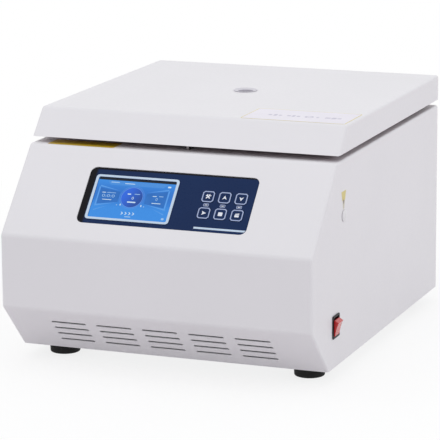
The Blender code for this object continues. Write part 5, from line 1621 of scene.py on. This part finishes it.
def pointing(direction, x, y, z):
    """A frame at a place whose Z points along the given direction."""
    turn = Vector(direction).to_track_quat("Z", "Y").to_matrix().to_4x4()
    return at((x, y, z)) @ turn


print("screws are ready")


# %% Close the lid from below
dull_steel = brushed("dull_plated_steel", (0.42, 0.39, 0.40), (0.34, 0.31, 0.32), 0.46, across_y)


def make_liner():
    low, high = box("lid_liner")
    top = high.z
    front = low.y + (top - low.z) * lean
    side = [(low.y, low.z), (high.y, low.z), (high.y, top), (front, top)]
    upright = folded(side, high.x, 2.5, 4, lambda first, second: abs(first.z - second.z) > 1)
    liner = new_piece("lid_liner_sheet", upright, liner_plastic, "lid", "liner_plastic", "lid_liner")
    holes = mesh_of(add_cylinder, port_bore, low.z - overrun, top + overrun, on_axis, 96)
    notch = rounded_rectangle(24, 44, 3, (167.85, 208.1))
    add_prism(holes, notch, low.z - overrun, top + overrun)
    carve(liner, holes)
    seal = (bowl_radius + flange_radius) / 2
    section = [(seal - 4, low.z - 1), (seal + 4, low.z - 1), (seal + 4, low.z),
               (seal + 3, low.z + 0.7), (seal - 3, low.z + 0.7), (seal - 4, low.z)]
    carve(liner, mesh_of(add_turned, section, on_axis, 128, True))
    soften(liner, 0.4)
    edges = [(x, y) for x in (-177, 177) for y in (-128, -40, 53, 150)]
    edges += [(x, 222) for x in (-177, -90, 0, 90)] + [(x, -138) for x in (-90, 90)]
    places = [pointing((0, 0, -1), x, y, low.z) for x, y in edges]
    add_screws("liner_screws", places, 3.2, 1.3, "lid")


def make_striker():
    low, high = box("striker")
    foot_z = high.z - 2
    bolt_z = middle_of("lock_bolt").z
    blade_reach, blade_half = 7, 1.5
    top = foot_z + 1
    side = [(-blade_reach, top), (-blade_reach, low.z), (blade_reach, low.z), (blade_reach, top)]
    outline = [(striker_place.y + y, z) for y, z in filleted(side, 2.5, 5, False)]
    mesh = mesh_of(add_prism, outline, -blade_half, blade_half, facing("X"))
    striker = new_piece("lock_striker", mesh, dull_steel, "lid", "bright_steel", "striker")
    foot_outline = rounded_rectangle(high.x - low.x, high.y - low.y, 3, striker_place.xy)
    carve(striker, mesh_of(add_prism, foot_outline, foot_z, high.z), "UNION")
    place = facing("X", (0, striker_place.y, bolt_z))
    window = mesh_of(add_cylinder, 4.6, -overrun, overrun, place)
    corners = four_corners(8.5, 6.5, (0, striker_place.y))
    for x, y in corners:
        add_cylinder(window, 1.7, foot_z - overrun, high.z + overrun, at((x, y, 0)), 24)
    carve(striker, window)
    soften(striker, 0.25)
    add_screws("striker_screws", [pointing((0, 0, -1), x, y, foot_z) for x, y in corners], 2.4, 1.0, "lid")


make_liner()
make_striker()
print("under the lid:", made[-4:])

# %% [markdown]
# ### Lock
#
# The lock sits below the deck. The striker drops into its pocket, and a round bolt shoots through the
# striker's window, drawn by a small solenoid on the right.

# %% Build the lock
def make_lock_case():
    low, high = box("lock_body")
    y, bolt_z = striker_place.y, middle_of("lock_bolt").z
    outline = rounded_rectangle(high.x - low.x, high.y - low.y, 3, ((low.x + high.x) / 2, y))
    mesh = mesh_of(add_prism, outline, low.z, high.z)
    case = new_piece("lock_case", mesh, black_plastic, "case", "black_plastic", "lock_body")
    pocket = rounded_rectangle(*striker_slot_size, (0, y))
    carve(case, mesh_of(add_prism, pocket, 226.4, high.z + overrun))
    bore = bmesh.new()
    add_cylinder(bore, 4.3, -5.7, high.x + overrun, facing("X", (0, y, bolt_z)))
    for x in (8, 14, 20, 26):
        rib = rounded_rectangle(2.4, 40, 0.6, (x, y), 3)
        add_prism(bore, rib, low.z - overrun, low.z + 1.2)
    carve(case, bore)
    soften(case, 0.6, 3)


def make_bolt():
    low, high = box("lock_bolt")
    reach = (high.y - low.y) / 2
    profile = [
        (0, low.x), (reach - 1.2, low.x), (reach, low.x + 1.2), (reach, high.x - 7),
        (reach - 0.6, high.x - 6.8), (reach - 0.6, high.x - 5.6), (reach, high.x - 5.4),
        (reach, high.x - 0.6), (reach - 0.6, high.x), (0, high.x),
    ]
    mesh = mesh_of(add_turned, profile, facing("X", (0, striker_place.y, middle_of("lock_bolt").z)), 64)
    soften(new_piece("round_bolt", mesh, turned_steel, "bolt", "bright_steel", "lock_bolt"), 0)


def make_solenoid():
    low, high = box("lock_solenoid")
    middle = middle_of("lock_solenoid")
    wall = 2.4
    height, width = high.z - low.z, high.y - low.y
    yoke = bmesh.new()
    add_prism(yoke, rounded_rectangle(width, height, 1.5, (middle.y, middle.z)), low.x, high.x, facing("X"))
    yoke = new_piece("solenoid_frame", yoke, grey_enamel, "case", "grey_coat", "lock_solenoid")
    inner = rectangle((low.y - overrun, low.z + wall), (high.y + overrun, high.z - wall))
    carve(yoke, mesh_of(add_prism, inner, low.x + wall, high.x - wall, facing("X")))
    bore = bmesh.new()
    add_cylinder(bore, 4.3, low.x - overrun, low.x + wall + overrun, facing("X", (0, middle.y, middle.z)))
    carve(yoke, bore)
    soften(yoke, 0.4)
    near, far, full, wound = low.x + wall + gap, high.x - wall - gap, height / 2 - wall - gap, 8.4
    flange = 1.4
    profile = [
        (4.6, near), (full, near), (full, near + flange), (wound, near + flange), (wound, far - flange),
        (full, far - flange), (full, far), (4.6, far),
    ]
    coil = mesh_of(add_turned, filleted(profile, 0.5, 3), facing("X", (0, middle.y, middle.z)), 64, True)
    soften(new_piece("solenoid_coil", coil, black_plastic, "case", "grey_coat"), 0)


make_lock_case()
make_bolt()
make_solenoid()
print("lock:", made[-4:])

# %% [markdown]
# ## Hinges and gas spring
#
# Two butt hinges join the lid to the back. A gas spring on the right holds the lid open: its black
# cylinder turns on a stud on the case wall, and its steel rod pushes an angle bracket under the lid.

# %% Build the hinges
lid_hinge = next(joint for joint in frame["joints"] if joint["name"] == "lid_hinge")
hinge_axis = Vector(lid_hinge["pos_m"]) / mm
barrel_radius, pin_radius, pin_bore = 3.8, 2.0, 2.3
knuckle_length = 12.5
leaf_thickness = 1.5


def add_barrel(mesh, low, high):
    ring = [(pin_bore, low), (barrel_radius, low), (barrel_radius, high), (pin_bore, high)]
    add_turned(mesh, filleted(ring, 0.25, 2), facing("X", (0, hinge_axis.y, hinge_axis.z)), 64, True)


def make_hinge(side):
    low, high = box("hinge_base_" + side)
    left, right, middle = low.x, high.x, (low.x + high.x) / 2
    near = back_y + gap
    base_top = hinge_axis.z - barrel_radius - gap
    plate = rounded_rectangle(right - left, base_top - low.z, 3, (middle, (base_top + low.z) / 2))
    base = mesh_of(add_prism, plate, near, near + leaf_thickness, facing("Y"))
    web = [
        (near, base_top - barrel_radius),
        (near + leaf_thickness, base_top - barrel_radius - leaf_thickness),
        (hinge_axis.y + barrel_radius * 0.96, hinge_axis.z - barrel_radius * 0.3),
        (hinge_axis.y + pin_bore, hinge_axis.z - pin_bore * 0.4),
        (hinge_axis.y, hinge_axis.z - pin_bore - 0.3),
        (hinge_axis.y - barrel_radius * 0.7, hinge_axis.z - barrel_radius * 0.7), (near, base_top - gap),
    ]
    for start in (left, right - knuckle_length):
        add_prism(base, web, start, start + knuckle_length, facing("X"))
        add_barrel(base, start, start + knuckle_length)
    base = new_piece("case_leaf_" + side, base, bright_steel, "case", "bright_steel", "hinge_base_" + side)
    soften(base, 0.25)
    leaf_low, leaf_high = box("hinge_leaf_" + side)
    low_z = hinge_axis.z + barrel_radius + 3
    leaf_y = leaf_low.y
    plate = rounded_rectangle(right - left, leaf_high.z - low_z, 3, (middle, (leaf_high.z + low_z) / 2))
    leaf = mesh_of(add_prism, plate, leaf_y, leaf_y + leaf_thickness, facing("Y"))
    inner_left, inner_right = left + knuckle_length + gap, right - knuckle_length - gap
    neck = rectangle((inner_left, hinge_axis.z + 1.5), (inner_right, low_z + 3))
    add_prism(leaf, neck, leaf_y, leaf_y + leaf_thickness, facing("Y"))
    add_barrel(leaf, inner_left, inner_right)
    leaf = new_piece("lid_leaf_" + side, leaf, bright_steel, "lid", "bright_steel", "hinge_leaf_" + side)
    soften(leaf, 0.25)
    pin_low, pin_high = box("hinge_pin_" + side)
    head = 1.5
    profile = [
        (0, pin_low.x), (3.2, pin_low.x), (3.2, pin_low.x + head), (pin_radius, pin_low.x + head),
        (pin_radius, pin_high.x - head), (3.2, pin_high.x - head), (3.2, pin_high.x), (0, pin_high.x),
    ]
    pin = bmesh.new()
    add_turned(pin, filleted(profile, 0.5, 3, False), facing("X", (0, hinge_axis.y, hinge_axis.z)), 48)
    soften(new_piece("pin_" + side, pin, turned_steel, "case", "bright_steel", "hinge_pin_" + side), 0)
    across = (left + 9, right - 9)
    outside, levels = near + leaf_thickness, (low.z + 6, low.z + 19)
    places = [pointing((0, 1, 0), x, outside, z) for x in across for z in levels]
    add_screws("case_leaf_screws_" + side, places, 3.0, 1.2, "case")
    places = [pointing((0, 1, 0), x, leaf_y + leaf_thickness, leaf_high.z - 8) for x in (*across, middle)]
    add_screws("lid_leaf_screws_" + side, places, 3.0, 1.2, "lid")


make_hinge("left")
make_hinge("right")
print("hinges:", made[-10:])

# %% Build the gas spring
spring_x = 167.854
spring_foot = Vector((spring_x, hinge_axis.y - 93, hinge_axis.z - 151))
spring_head = Vector((spring_x, hinge_axis.y - 33, hinge_axis.z + 10))
spring_reach = (spring_head - spring_foot).length
spring_lean = math.atan2(spring_head.y - spring_foot.y, spring_head.z - spring_foot.z)
spring_frame = at(spring_foot) @ Matrix.Rotation(-spring_lean, 4, "X")
satin_black = moulded(
    "satin_black_paint", (0.010, 0.010, 0.011), (0.014, 0.014, 0.015), 0.24, 700.0, 0.00001
)


def make_spring_cylinder():
    top = spring_reach - 43.5
    profile = [
        (0, 7.0), (4.5, 7.0), (7.5, 10.0), (7.5, top - 3.2),
        (6.9, top - 2.6), (6.9, top - 1.8), (7.3, top - 1.2), (6.4, top),
        (3.3, top), (3.3, top - 4.5), (6.2, top - 4.5), (6.2, 18), (0, 18),
    ]
    mesh = mesh_of(add_turned, filleted(profile, 0.7, 3, False), spring_frame, 96)
    body = "gas_spring_cylinder"
    soften(new_piece("spring_cylinder", mesh, satin_black, body, "black_plastic", "strut_cylinder"), 0)
    eye = bmesh.new()
    ring = [(3.3, -4), (6, -4), (6, 4), (3.3, 4)]
    add_turned(eye, filleted(ring, 0.6, 3), spring_frame @ facing("X"), 64, True)
    add_cylinder(eye, 3.0, 4.6, 9, spring_frame)
    soften(new_piece("spring_foot_eye", eye, black_plastic, body, "black_plastic"), 0)


def make_spring_rod():
    end = spring_reach - 4
    profile = [(0, 24), (5.8, 24), (5.8, 30), (3, 30), (3, end), (0, end)]
    mesh = mesh_of(add_turned, filleted(profile, 0.3, 2, False), spring_frame, 64)
    soften(new_piece("spring_rod", mesh, turned_steel, "gas_spring_rod", "bright_steel", "strut_rod"), 0)
    cap = 6.6
    profile = [
        (0, -4), (5.5, -4), (5.5, 4), (2, 4), (2, cap), (10.2, cap),
        (10.2, cap + 1.5), (0, cap + 1.5),
    ]
    at_head = spring_frame @ at((0, 0, spring_reach))
    head = mesh_of(add_turned, filleted(profile, 0.6, 3, False), at_head @ facing("X"), 64)
    collar = at_head @ at((0, 0, -9.5))
    add_cylinder(head, 4.4, 0, 4.5, collar, 6)
    soften(new_piece("spring_rod_end", head, turned_steel, "gas_spring_rod", "bright_steel"), 0.2, 2, 50)


def make_spring_mounts():
    low, high = box("strut_mount")
    plate_x = high.x - 2
    centre = (spring_foot.y, spring_foot.z)
    mesh = mesh_of(add_prism, rounded_rectangle(30, 30, 4, centre), plate_x, high.x, facing("X"))
    shoulder = spring_x + 4.3
    profile = [(0, low.x), (3, low.x), (3, shoulder), (6, shoulder), (6, high.x - 1), (0, high.x - 1)]
    add_turned(mesh, filleted(profile, 0.4, 3, False), facing("X", (0, *centre)), 64)
    mount = new_piece("spring_wall_stud", mesh, bright_steel, "case", "bright_steel", "strut_mount")
    soften(mount, 0.3)
    places = [pointing((-1, 0, 0), plate_x, y, z) for y, z in four_corners(10.5, 10.5, centre)]
    add_screws("spring_wall_screws", places, 2.6, 1.2, "case")
    low, high = box("strut_lid_bracket")
    near = spring_x + 4.3
    side = [
        (near, low.z), (near + 2, low.z), (near + 2, high.z), (low.x, high.z), (low.x, high.z - 2),
        (near, high.z - 2),
    ]
    mesh = mesh_of(add_prism, filleted(side, 0.9, 4), low.y, high.y, facing("Y"))
    bracket = new_piece("spring_lid_angle", mesh, bright_steel, "lid", "bright_steel", "strut_lid_bracket")
    centre = facing("X", (0, spring_head.y, spring_head.z))
    carve(bracket, mesh_of(add_cylinder, 8.6, near - overrun, near + 2 + overrun, centre, 64))
    soften(bracket, 0.25)
    places = [pointing((0, 0, -1), low.x + 5, spring_head.y + y, high.z - 2) for y in (-7, 7)]
    add_screws("spring_lid_screws", places, 2.6, 1.2, "lid")


make_spring_cylinder()
make_spring_rod()
make_spring_mounts()
print("gas spring:", made[-8:])

# %% [markdown]
# ## The motor
#
# A finned motor hangs in a round steel plate, and three rubber dampers carry the plate on the tray, so
# an unbalanced load can't shake the case. Bolts pass through the plate into the dampers.

# %% Turn the motor and its mounting
motor_low, motor_high = box("motor")
plate_low, plate_high = box("motor_plate")
plate_hole, plate_rim = 56.0, 96.0
damper_circle = 82.0


def around(radius, count, turn=0.0):
    turns = [math.radians(turn) + math.tau * number / count for number in range(count)]
    return [
        Vector((radius * math.cos(angle), rotor_axis.y + radius * math.sin(angle), 0)) for angle in turns
    ]


def make_motor():
    body, flange, boss = 55.0, 67.0, 21.0
    seat = plate_high.z + gap
    shoulder = motor_high.z - 6
    profile = [(0, motor_low.z), (body, motor_low.z), (body, seat)]
    profile += [(flange, seat), (flange, seat + 6), (body, seat + 6)]
    fin = seat + 8
    while fin + 4 < shoulder - 5:
        profile += [(body, fin), (body - 3, fin + 0.4), (body - 3, fin + 1.8), (body, fin + 2.2)]
        fin += 4.4
    profile += [(body, shoulder), (boss, shoulder), (boss, motor_high.z), (6.3, motor_high.z)]
    profile += [(6.3, motor_high.z - 12.3), (0, motor_high.z - 12.3)]
    turned_piece("finned_motor", profile, grey_enamel, "case", "grey_coat", ("motor",), on_axis, 1.6, False)
    places = [at(place + Vector((0, 0, seat + 6))) for place in around(61, 6, 30)]
    add_screws("motor_screws", places, 3.6, 2.4, "case")


def make_plate():
    profile = rectangle((plate_hole, plate_low.z), (plate_rim, plate_high.z))
    plate = turned_piece(
        "motor_mount_plate", profile, zinc_sheet, "case", "galvanised_sheet", ("motor_plate",), on_axis
    )
    plate.modifiers.clear()
    holes = bmesh.new()
    for place in around(damper_circle, 3, 30):
        add_cylinder(holes, 7, plate_low.z - overrun, plate_high.z + overrun, at(place))
    carve(plate, holes)
    soften(plate, 0.3)
    bolts = bmesh.new()
    for place in around(damper_circle, 3, 90):
        add_cylinder(bolts, 8, plate_high.z, plate_high.z + 1.2, at(place), 48, 0.3)
        add_prism(bolts, circle(5.6, 6, place.xy), plate_high.z + 1.2, plate_high.z + 5.4)
        add_cylinder(bolts, 3, plate_high.z + 5.4, plate_high.z + 9, at(place), 32, 0.5)
    soften(new_piece("damper_bolts", bolts, turned_steel, "case", "bright_steel"), 0.3, 2, 50)


def make_damper(node):
    low, high = box(node)
    radius = (high.x - low.x) / 2
    waist = radius - 3
    profile = [
        (0, low.z), (radius, low.z), (radius, low.z + 4), (waist, low.z + 8),
        (waist - 0.8, middle_of(node).z),
        (waist, high.z - 8), (radius, high.z - 4), (radius, high.z), (0, high.z),
    ]
    place = at((middle_of(node).x, middle_of(node).y, 0))
    name = "rubber_" + node
    turned_piece(name, profile, black_rubber, "case", "black_rubber", (node,), place, 2, False, 64)


make_motor()
make_plate()
for damper_number in range(1, 4):
    make_damper("motor_damper_" + str(damper_number))
print("motor:", made[-7:])

# %% [markdown]
# ## Back and base
#
# The back panel carries the fan behind a round grille, the mains inlet and a bare rating plate. The
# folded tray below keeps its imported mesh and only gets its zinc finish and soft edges.

# %% Close the back and the base
fan_place = (-100.0, 92.0)
grille_radius = 36
inlet_place = (middle_of("mains_inlet").x, middle_of("mains_inlet").z)
back_low, back_high = box("back_panel")


def make_back():
    outline = rectangle((back_low.x, back_low.z), (back_high.x, back_high.z))
    mesh = mesh_of(add_prism, outline, back_low.y, back_y, facing("Y"))
    back = new_piece("back_sheet", mesh, powder_coat, "case", "powder_coat", "back_panel")
    slots = []
    for level in range(-32, 33, 8):
        reach = math.sqrt(grille_radius ** 2 - level ** 2)
        slots.append(rounded_rectangle(2 * reach, 4, 2, (fan_place[0], fan_place[1] + level)))
    slots.append(rounded_rectangle(28.1, 20.1, 3, inlet_place))
    holes = bmesh.new()
    for slot in slots:
        add_prism(holes, slot, back_low.y - overrun, back_y + overrun, facing("Y"))
    carve(back, holes)
    soften(back, 0.3)
    edges = [(x, z) for x in (-180, 180) for z in (40, 130, 220)] + [(x, 28) for x in (-60, 60)]
    edges += four_corners(36, 36, fan_place)
    places = [pointing((0, 1, 0), x, back_y, z) for x, z in edges]
    add_screws("back_screws", places, 3.0, 1.3, "case")
    plate = mesh_of(add_prism, rounded_rectangle(70, 38, 2, (118, 130)), back_y, back_y + 0.5, facing("Y"))
    soften(new_piece("rating_plate", plate, milled_aluminium, "case", "turned_aluminium"), 0.15)


def make_base():
    dress("base_tray", zinc_sheet, 0.4, 3)
    low = box("base_tray")[0]
    places = [pointing((0, 0, -1), x, y, low.z) for x in (-178, 178) for y in (-100, 20, 120, 218)]
    add_screws("tray_screws", places, 2.8, 1.2, "case")


make_back()
make_base()
print("back and base:", made[-4:])

# %% Build the mains inlet
def make_inlet():
    low, high = box("mains_inlet")
    face = high.y
    outline = rounded_rectangle(high.x - low.x, high.z - low.z, 5, inlet_place)
    flange = mesh_of(add_prism, outline, back_y + gap, face, facing("Y"))
    inlet = new_piece("mains_inlet_shell", flange, black_plastic, "case", "black_plastic", "mains_inlet")
    barrel = mesh_of(add_prism, rounded_rectangle(27.5, 19.5, 3, inlet_place), low.y, face - 1, facing("Y"))
    carve(inlet, barrel, "UNION")
    x, z = inlet_place
    wide, tall, cut = 12.15, 8.15, 4.5
    mouth = [
        (x - wide, z - tall), (x + wide, z - tall), (x + wide, z + tall - cut), (x + wide - cut, z + tall),
        (x - wide + cut, z + tall), (x - wide, z + tall - cut),
    ]
    carve(inlet, mesh_of(add_prism, filleted(mouth, 1.2, 3), face - 17, face + overrun, facing("Y")))
    soften(inlet, 0.4, 3)
    pins = bmesh.new()
    for across, up in ((-7, -2), (0, 2), (7, -2)):
        centre = (x + across, z + up)
        add_prism(pins, rounded_rectangle(2, 4, 0.5, centre, 3), face - 19, face - 3, facing("Y"))
    soften(new_piece("inlet_pins", pins, turned_steel, "case", "bright_steel"), 0.2)
    places = [pointing((0, 1, 0), x + side * 20, face, z) for side in (-1, 1)]
    add_screws("inlet_screws", places, 2.4, 0.9, "case")


make_inlet()
print("inlet:", made[-3:])

# %% Build the fan
fan_low, fan_high = box("fan_frame")
impeller_low, impeller_high = box("fan_impeller")
fan_axis = facing("Y", (fan_place[0], 0, fan_place[1]))


def make_fan_frame():
    throat, shroud = 37.0, 38.6
    corner = 35.8
    flange = 3.6
    mesh = bmesh.new()
    for low in (fan_low.y, fan_high.y - flange):
        add_prism(mesh, rounded_rectangle(80, 80, 4), low, low + flange, fan_axis)
    frame_piece = new_piece("fan_housing", mesh, black_plastic, "case", "black_plastic", "fan_frame")
    tube = mesh_of(add_cylinder, shroud, fan_low.y + 1, fan_high.y - 1, fan_axis, 128)
    pillars = [fan_axis @ at((x, y, 0)) for x, y in four_corners(corner, corner)]
    for pillar in pillars:
        add_cylinder(tube, 3.6, fan_low.y + 1, fan_high.y - 1, pillar, 32)
    carve(frame_piece, tube, "UNION")
    holes = bmesh.new()
    add_cylinder(holes, throat, fan_low.y - overrun, fan_high.y + overrun, fan_axis, 128)
    for pillar in pillars:
        add_cylinder(holes, 2.1, fan_low.y - overrun, fan_high.y + overrun, pillar, 24)
    carve(frame_piece, holes)
    soften(frame_piece, 0.4)
    spider = bmesh.new()
    add_cylinder(spider, 16, fan_low.y, fan_low.y + 3, fan_axis, 96, 0.5)
    for number in range(4):
        arm = fan_axis @ Matrix.Rotation(math.tau * (number + 0.5) / 4, 4, "Z")
        add_box(spider, (14, -2, fan_low.y), (37.6, 2, fan_low.y + 3), arm)
    soften(new_piece("fan_spider", spider, black_plastic, "case", "black_plastic"), 0.3)
    sticker = mesh_of(add_cylinder, 13, fan_low.y - 0.1, fan_low.y, fan_axis, 64)
    soften(new_piece("fan_sticker", sticker, grey_vinyl, "case", "black_plastic"), 0)


def add_blade(mesh, turn):
    """A cambered blade, lofted from the hub out, with less pitch and more chord at its tip."""
    root, tip, rows, columns = 14.0, 35.5, 7, 9
    middle = (impeller_low.y + impeller_high.y) / 2
    faces = []
    for side in (-0.7, 0.7):
        sheet_rows = []
        for row in range(rows):
            share = row / (rows - 1)
            radius = root + (tip - root) * share
            pitch = math.radians(46 - 14 * share)
            chord = 14 + 5 * share
            line = []
            for column in range(columns):
                along = 2 * column / (columns - 1) - 1
                thin = side * (1.05 - along ** 2) ** 0.5
                run, rise = chord / 2 * along, 1.4 * (1 - along ** 2) + thin
                around_hub = run * math.cos(pitch) - rise * math.sin(pitch)
                depth = run * math.sin(pitch) + rise * math.cos(pitch)
                angle = turn + around_hub / radius + 0.10 * share
                point = Vector((radius * math.cos(angle), radius * math.sin(angle), middle + depth * 0.9))
                line.append(mesh.verts.new(fan_axis @ point))
            sheet_rows.append(line)
        faces.append(sheet_rows)
    near, far = faces
    for row in range(rows - 1):
        for column in range(columns - 1):
            for grid in faces:
                first, second = grid[row], grid[row + 1]
                mesh.faces.new((first[column], first[column + 1], second[column + 1], second[column]))
    border = [(0, column) for column in range(columns)]
    border += [(row, columns - 1) for row in range(1, rows)]
    border += [(rows - 1, column) for column in range(columns - 2, -1, -1)]
    border += [(row, 0) for row in range(rows - 2, 0, -1)]
    for number, (row, column) in enumerate(border):
        last_row, last = border[number - 1]
        mesh.faces.new((near[last_row][last], near[row][column], far[row][column], far[last_row][last]))


def make_impeller():
    mesh = bmesh.new()
    profile = [
        (0, impeller_low.y + 1.2), (12, impeller_low.y + 1.2), (13.2, impeller_low.y),
        (15.5, impeller_low.y), (15.5, impeller_high.y), (0, impeller_high.y),
    ]
    add_turned(mesh, filleted(profile, 1.4, 4, False), fan_axis, 96)
    for number in range(7):
        add_blade(mesh, math.tau * number / 7)
    soften(new_piece("impeller", mesh, black_plastic, "impeller", "black_plastic", "fan_impeller"), 0)


make_fan_frame()
make_impeller()
print("fan:", made[-4:])

# %% [markdown]
# ## Electronics
#
# A control board stands behind the panel, and a drive board with a finned heat sink lies on the tray.
# Both are green laminate. Chips, sockets and capacitors are separate parts with their own plastics.

# %% Fit out the control board
white_socket = moulded("white_socket_plastic", (0.62, 0.60, 0.54), (0.58, 0.56, 0.50), 0.45, 2200.0)
capacitor_film = moulded("capacitor_sleeve", (0.020, 0.030, 0.075), (0.016, 0.024, 0.060), 0.30, 2600.0)


def add_chip(mesh, legs, frame, width, length, height):
    """A chip with its two rows of legs, on the frame's own ground."""
    add_box(mesh, (-width / 2, -length / 2, 0.4), (width / 2, length / 2, height), frame)
    steps = int(length / 1.6)
    for number in range(steps):
        along = (number - (steps - 1) / 2) * 1.6
        reach = width / 2 + 1.1
        add_box(legs, (-reach, along - 0.3, 0), (reach, along + 0.3, 0.7), frame)


def add_socket(sockets, frame, size, wall, floor):
    """A socket that is open at its top. Its size is a width, a depth and a height."""
    outer = rectangle((-size[0] / 2, -size[1] / 2), (size[0] / 2, size[1] / 2))
    add_loop(sockets, outer, inset(outer, wall), 0, size[2], frame)
    add_prism(sockets, inset(outer, wall), 0, floor, frame)


def add_capacitor(sleeves, caps, frame, radius, height):
    sleeve = [(0, 0), (radius, 0), (radius, 1.2), (radius * 0.95, 1.8), (radius, 2.4)]
    sleeve += [(radius, height - 0.5), (radius * 0.88, height), (0, height)]
    add_turned(sleeves, sleeve, frame, 48)
    add_cylinder(caps, radius * 0.8, height - 0.2, height + 0.12, frame, 48)


def make_control_board():
    board_top = -6.9
    back = board_top - 1.6
    half_x, half_y = 106.75, 40.5
    behind = panel_frame @ at((0, 0, back)) @ Matrix.Rotation(math.pi, 4, "Y")
    board = mesh_of(add_prism, rounded_rectangle(2 * half_x, 2 * half_y, 2), back, board_top, panel_frame)
    board = new_piece("control_laminate", board, circuit_green, "case", "circuit_board", "control_board")
    soften(board, 0.15)
    corners = four_corners(half_x - 4.5, half_y - 4.5)
    spacers = bmesh.new()
    for x, y in corners:
        place = panel_frame @ at((x, y, 0))
        add_cylinder(spacers, 3, board_top, board_top + 2.3, place, 6)
    soften(new_piece("board_spacers", spacers, turned_steel, "case", "bright_steel"), 0.2, 2, 50)
    places = [behind @ at((-x, y, 0)) for x, y in corners]
    add_screws("board_screws", places, 2.4, 1.2, "case")
    chips, legs = bmesh.new(), bmesh.new()
    add_chip(chips, legs, behind, 14, 14, 3)
    small_chips = ((-34, 18, 5, 10), (-34, -4, 5, 10), (30, 20, 6, 14), (30, -18, 4, 5), (86, 16, 5, 8))
    for x, y, width, length in small_chips:
        add_chip(chips, legs, behind @ at((x, y, 0)), width, length, 1.9)
    soften(new_piece("board_chips", chips, black_plastic, "case", "black_plastic"), 0.15)
    new_piece("board_chip_legs", legs, bright_steel, "case", "bright_steel")
    sockets = bmesh.new()
    for x, y, *size in ((-67.5, 0, 30, 7, 6), (60, -30, 22, 6, 5.6), (10, -31, 12, 6, 5.6)):
        add_socket(sockets, behind @ at((x, y, 0)), size, 0.9, 1.2)
    soften(new_piece("board_sockets", sockets, white_socket, "case", "white_plastic"), 0.15)


make_control_board()
print("control board:", made[-6:])

# %% Fit out the drive board
def make_drive_board():
    low, high = box("drive_board")
    middle = (low + high) / 2
    under = high.z - 1.6
    outline = rounded_rectangle(high.x - low.x, high.y - low.y, 2, middle.xy)
    board = mesh_of(add_prism, outline, under, high.z)
    soften(new_piece("drive_laminate", board, circuit_green, "case", "circuit_board", "drive_board"), 0.15)
    corners = four_corners(67, 42, middle)
    spacers = bmesh.new()
    for corner in corners:
        add_cylinder(spacers, 4, low.z, under, at((*corner, 0)), 6)
    soften(new_piece("drive_spacers", spacers, turned_steel, "case", "bright_steel"), 0.2, 2, 50)
    places = [at((x, y, high.z)) for x, y in corners]
    add_screws("drive_screws", places, 2.8, 1.4, "case")
    sleeves, caps = bmesh.new(), bmesh.new()
    for x, y, *size in (
        (-22, -78, 7, 26), (-22, -94, 7, 26), (-22, -110, 7, 26), (-146, -90, 5, 16), (-146, -104, 5, 16)
    ):
        add_capacitor(sleeves, caps, at((x, y, high.z)), *size)
    soften(new_piece("drive_capacitors", sleeves, capacitor_film, "case", "black_plastic"), 0)
    soften(new_piece("drive_capacitor_ends", caps, turned_aluminium, "case", "turned_aluminium"), 0)
    chips, legs, blocks = bmesh.new(), bmesh.new(), bmesh.new()
    for x, y, width, length in ((-128, -60, 6, 10), (-50, -61, 9, 9), (-90, -61, 5, 8), (-60, -140, 6, 10)):
        place = at((x, y, high.z)) @ Matrix.Rotation(math.pi / 2, 4, "Z")
        add_chip(chips, legs, place, width, length, 2.4)
    for number in range(5):
        place = at((-129 + 22 * number, -134.4, high.z))
        add_box(chips, (-5, -2.2, 3), (5, 2.2, 17), place)
        for pin in (-2.5, 0, 2.5):
            add_box(legs, (pin - 0.4, -0.3, 0), (pin + 0.4, 0.3, 4), place)
    soften(new_piece("drive_chips", chips, black_plastic, "case", "black_plastic"), 0.2)
    new_piece("drive_legs", legs, bright_steel, "case", "bright_steel")
    for x, y, *size in ((-22, -128, 20, 10, 9), (-22, -62, 20, 9, 9), (-112, -144, 26, 8, 9)):
        add_socket(blocks, at((x, y, high.z)), size, 1.2, 2)
    soften(new_piece("drive_sockets", blocks, white_socket, "case", "white_plastic"), 0.2)


def make_heat_sink():
    low, high = box("heat_sink")
    fins, thick, floor = 9, 2, 4
    pitch = (high.x - low.x - thick) / (fins - 1)
    outline = [(high.x, low.z), (low.x, low.z)]
    for fin in range(fins):
        near = low.x + fin * pitch
        far = near + thick
        if fin:
            outline.append((near, low.z + floor))
        outline += [(near + 0.3, high.z), (far - 0.3, high.z)]
        if fin < fins - 1:
            outline.append((far, low.z + floor))
    mesh = mesh_of(add_prism, filleted(outline, 0.8, 3), low.y, high.y, facing("Y"))
    sink = new_piece("finned_heat_sink", mesh, milled_aluminium, "case", "turned_aluminium", "heat_sink")
    soften(sink, 0.2)


make_drive_board()
make_heat_sink()
print("drive board:", made[-9:])

# %% [markdown]
# ## Last step
#
# The last step counts the pieces that were made.

# %% Count the pieces
print("pieces made:", len(made))
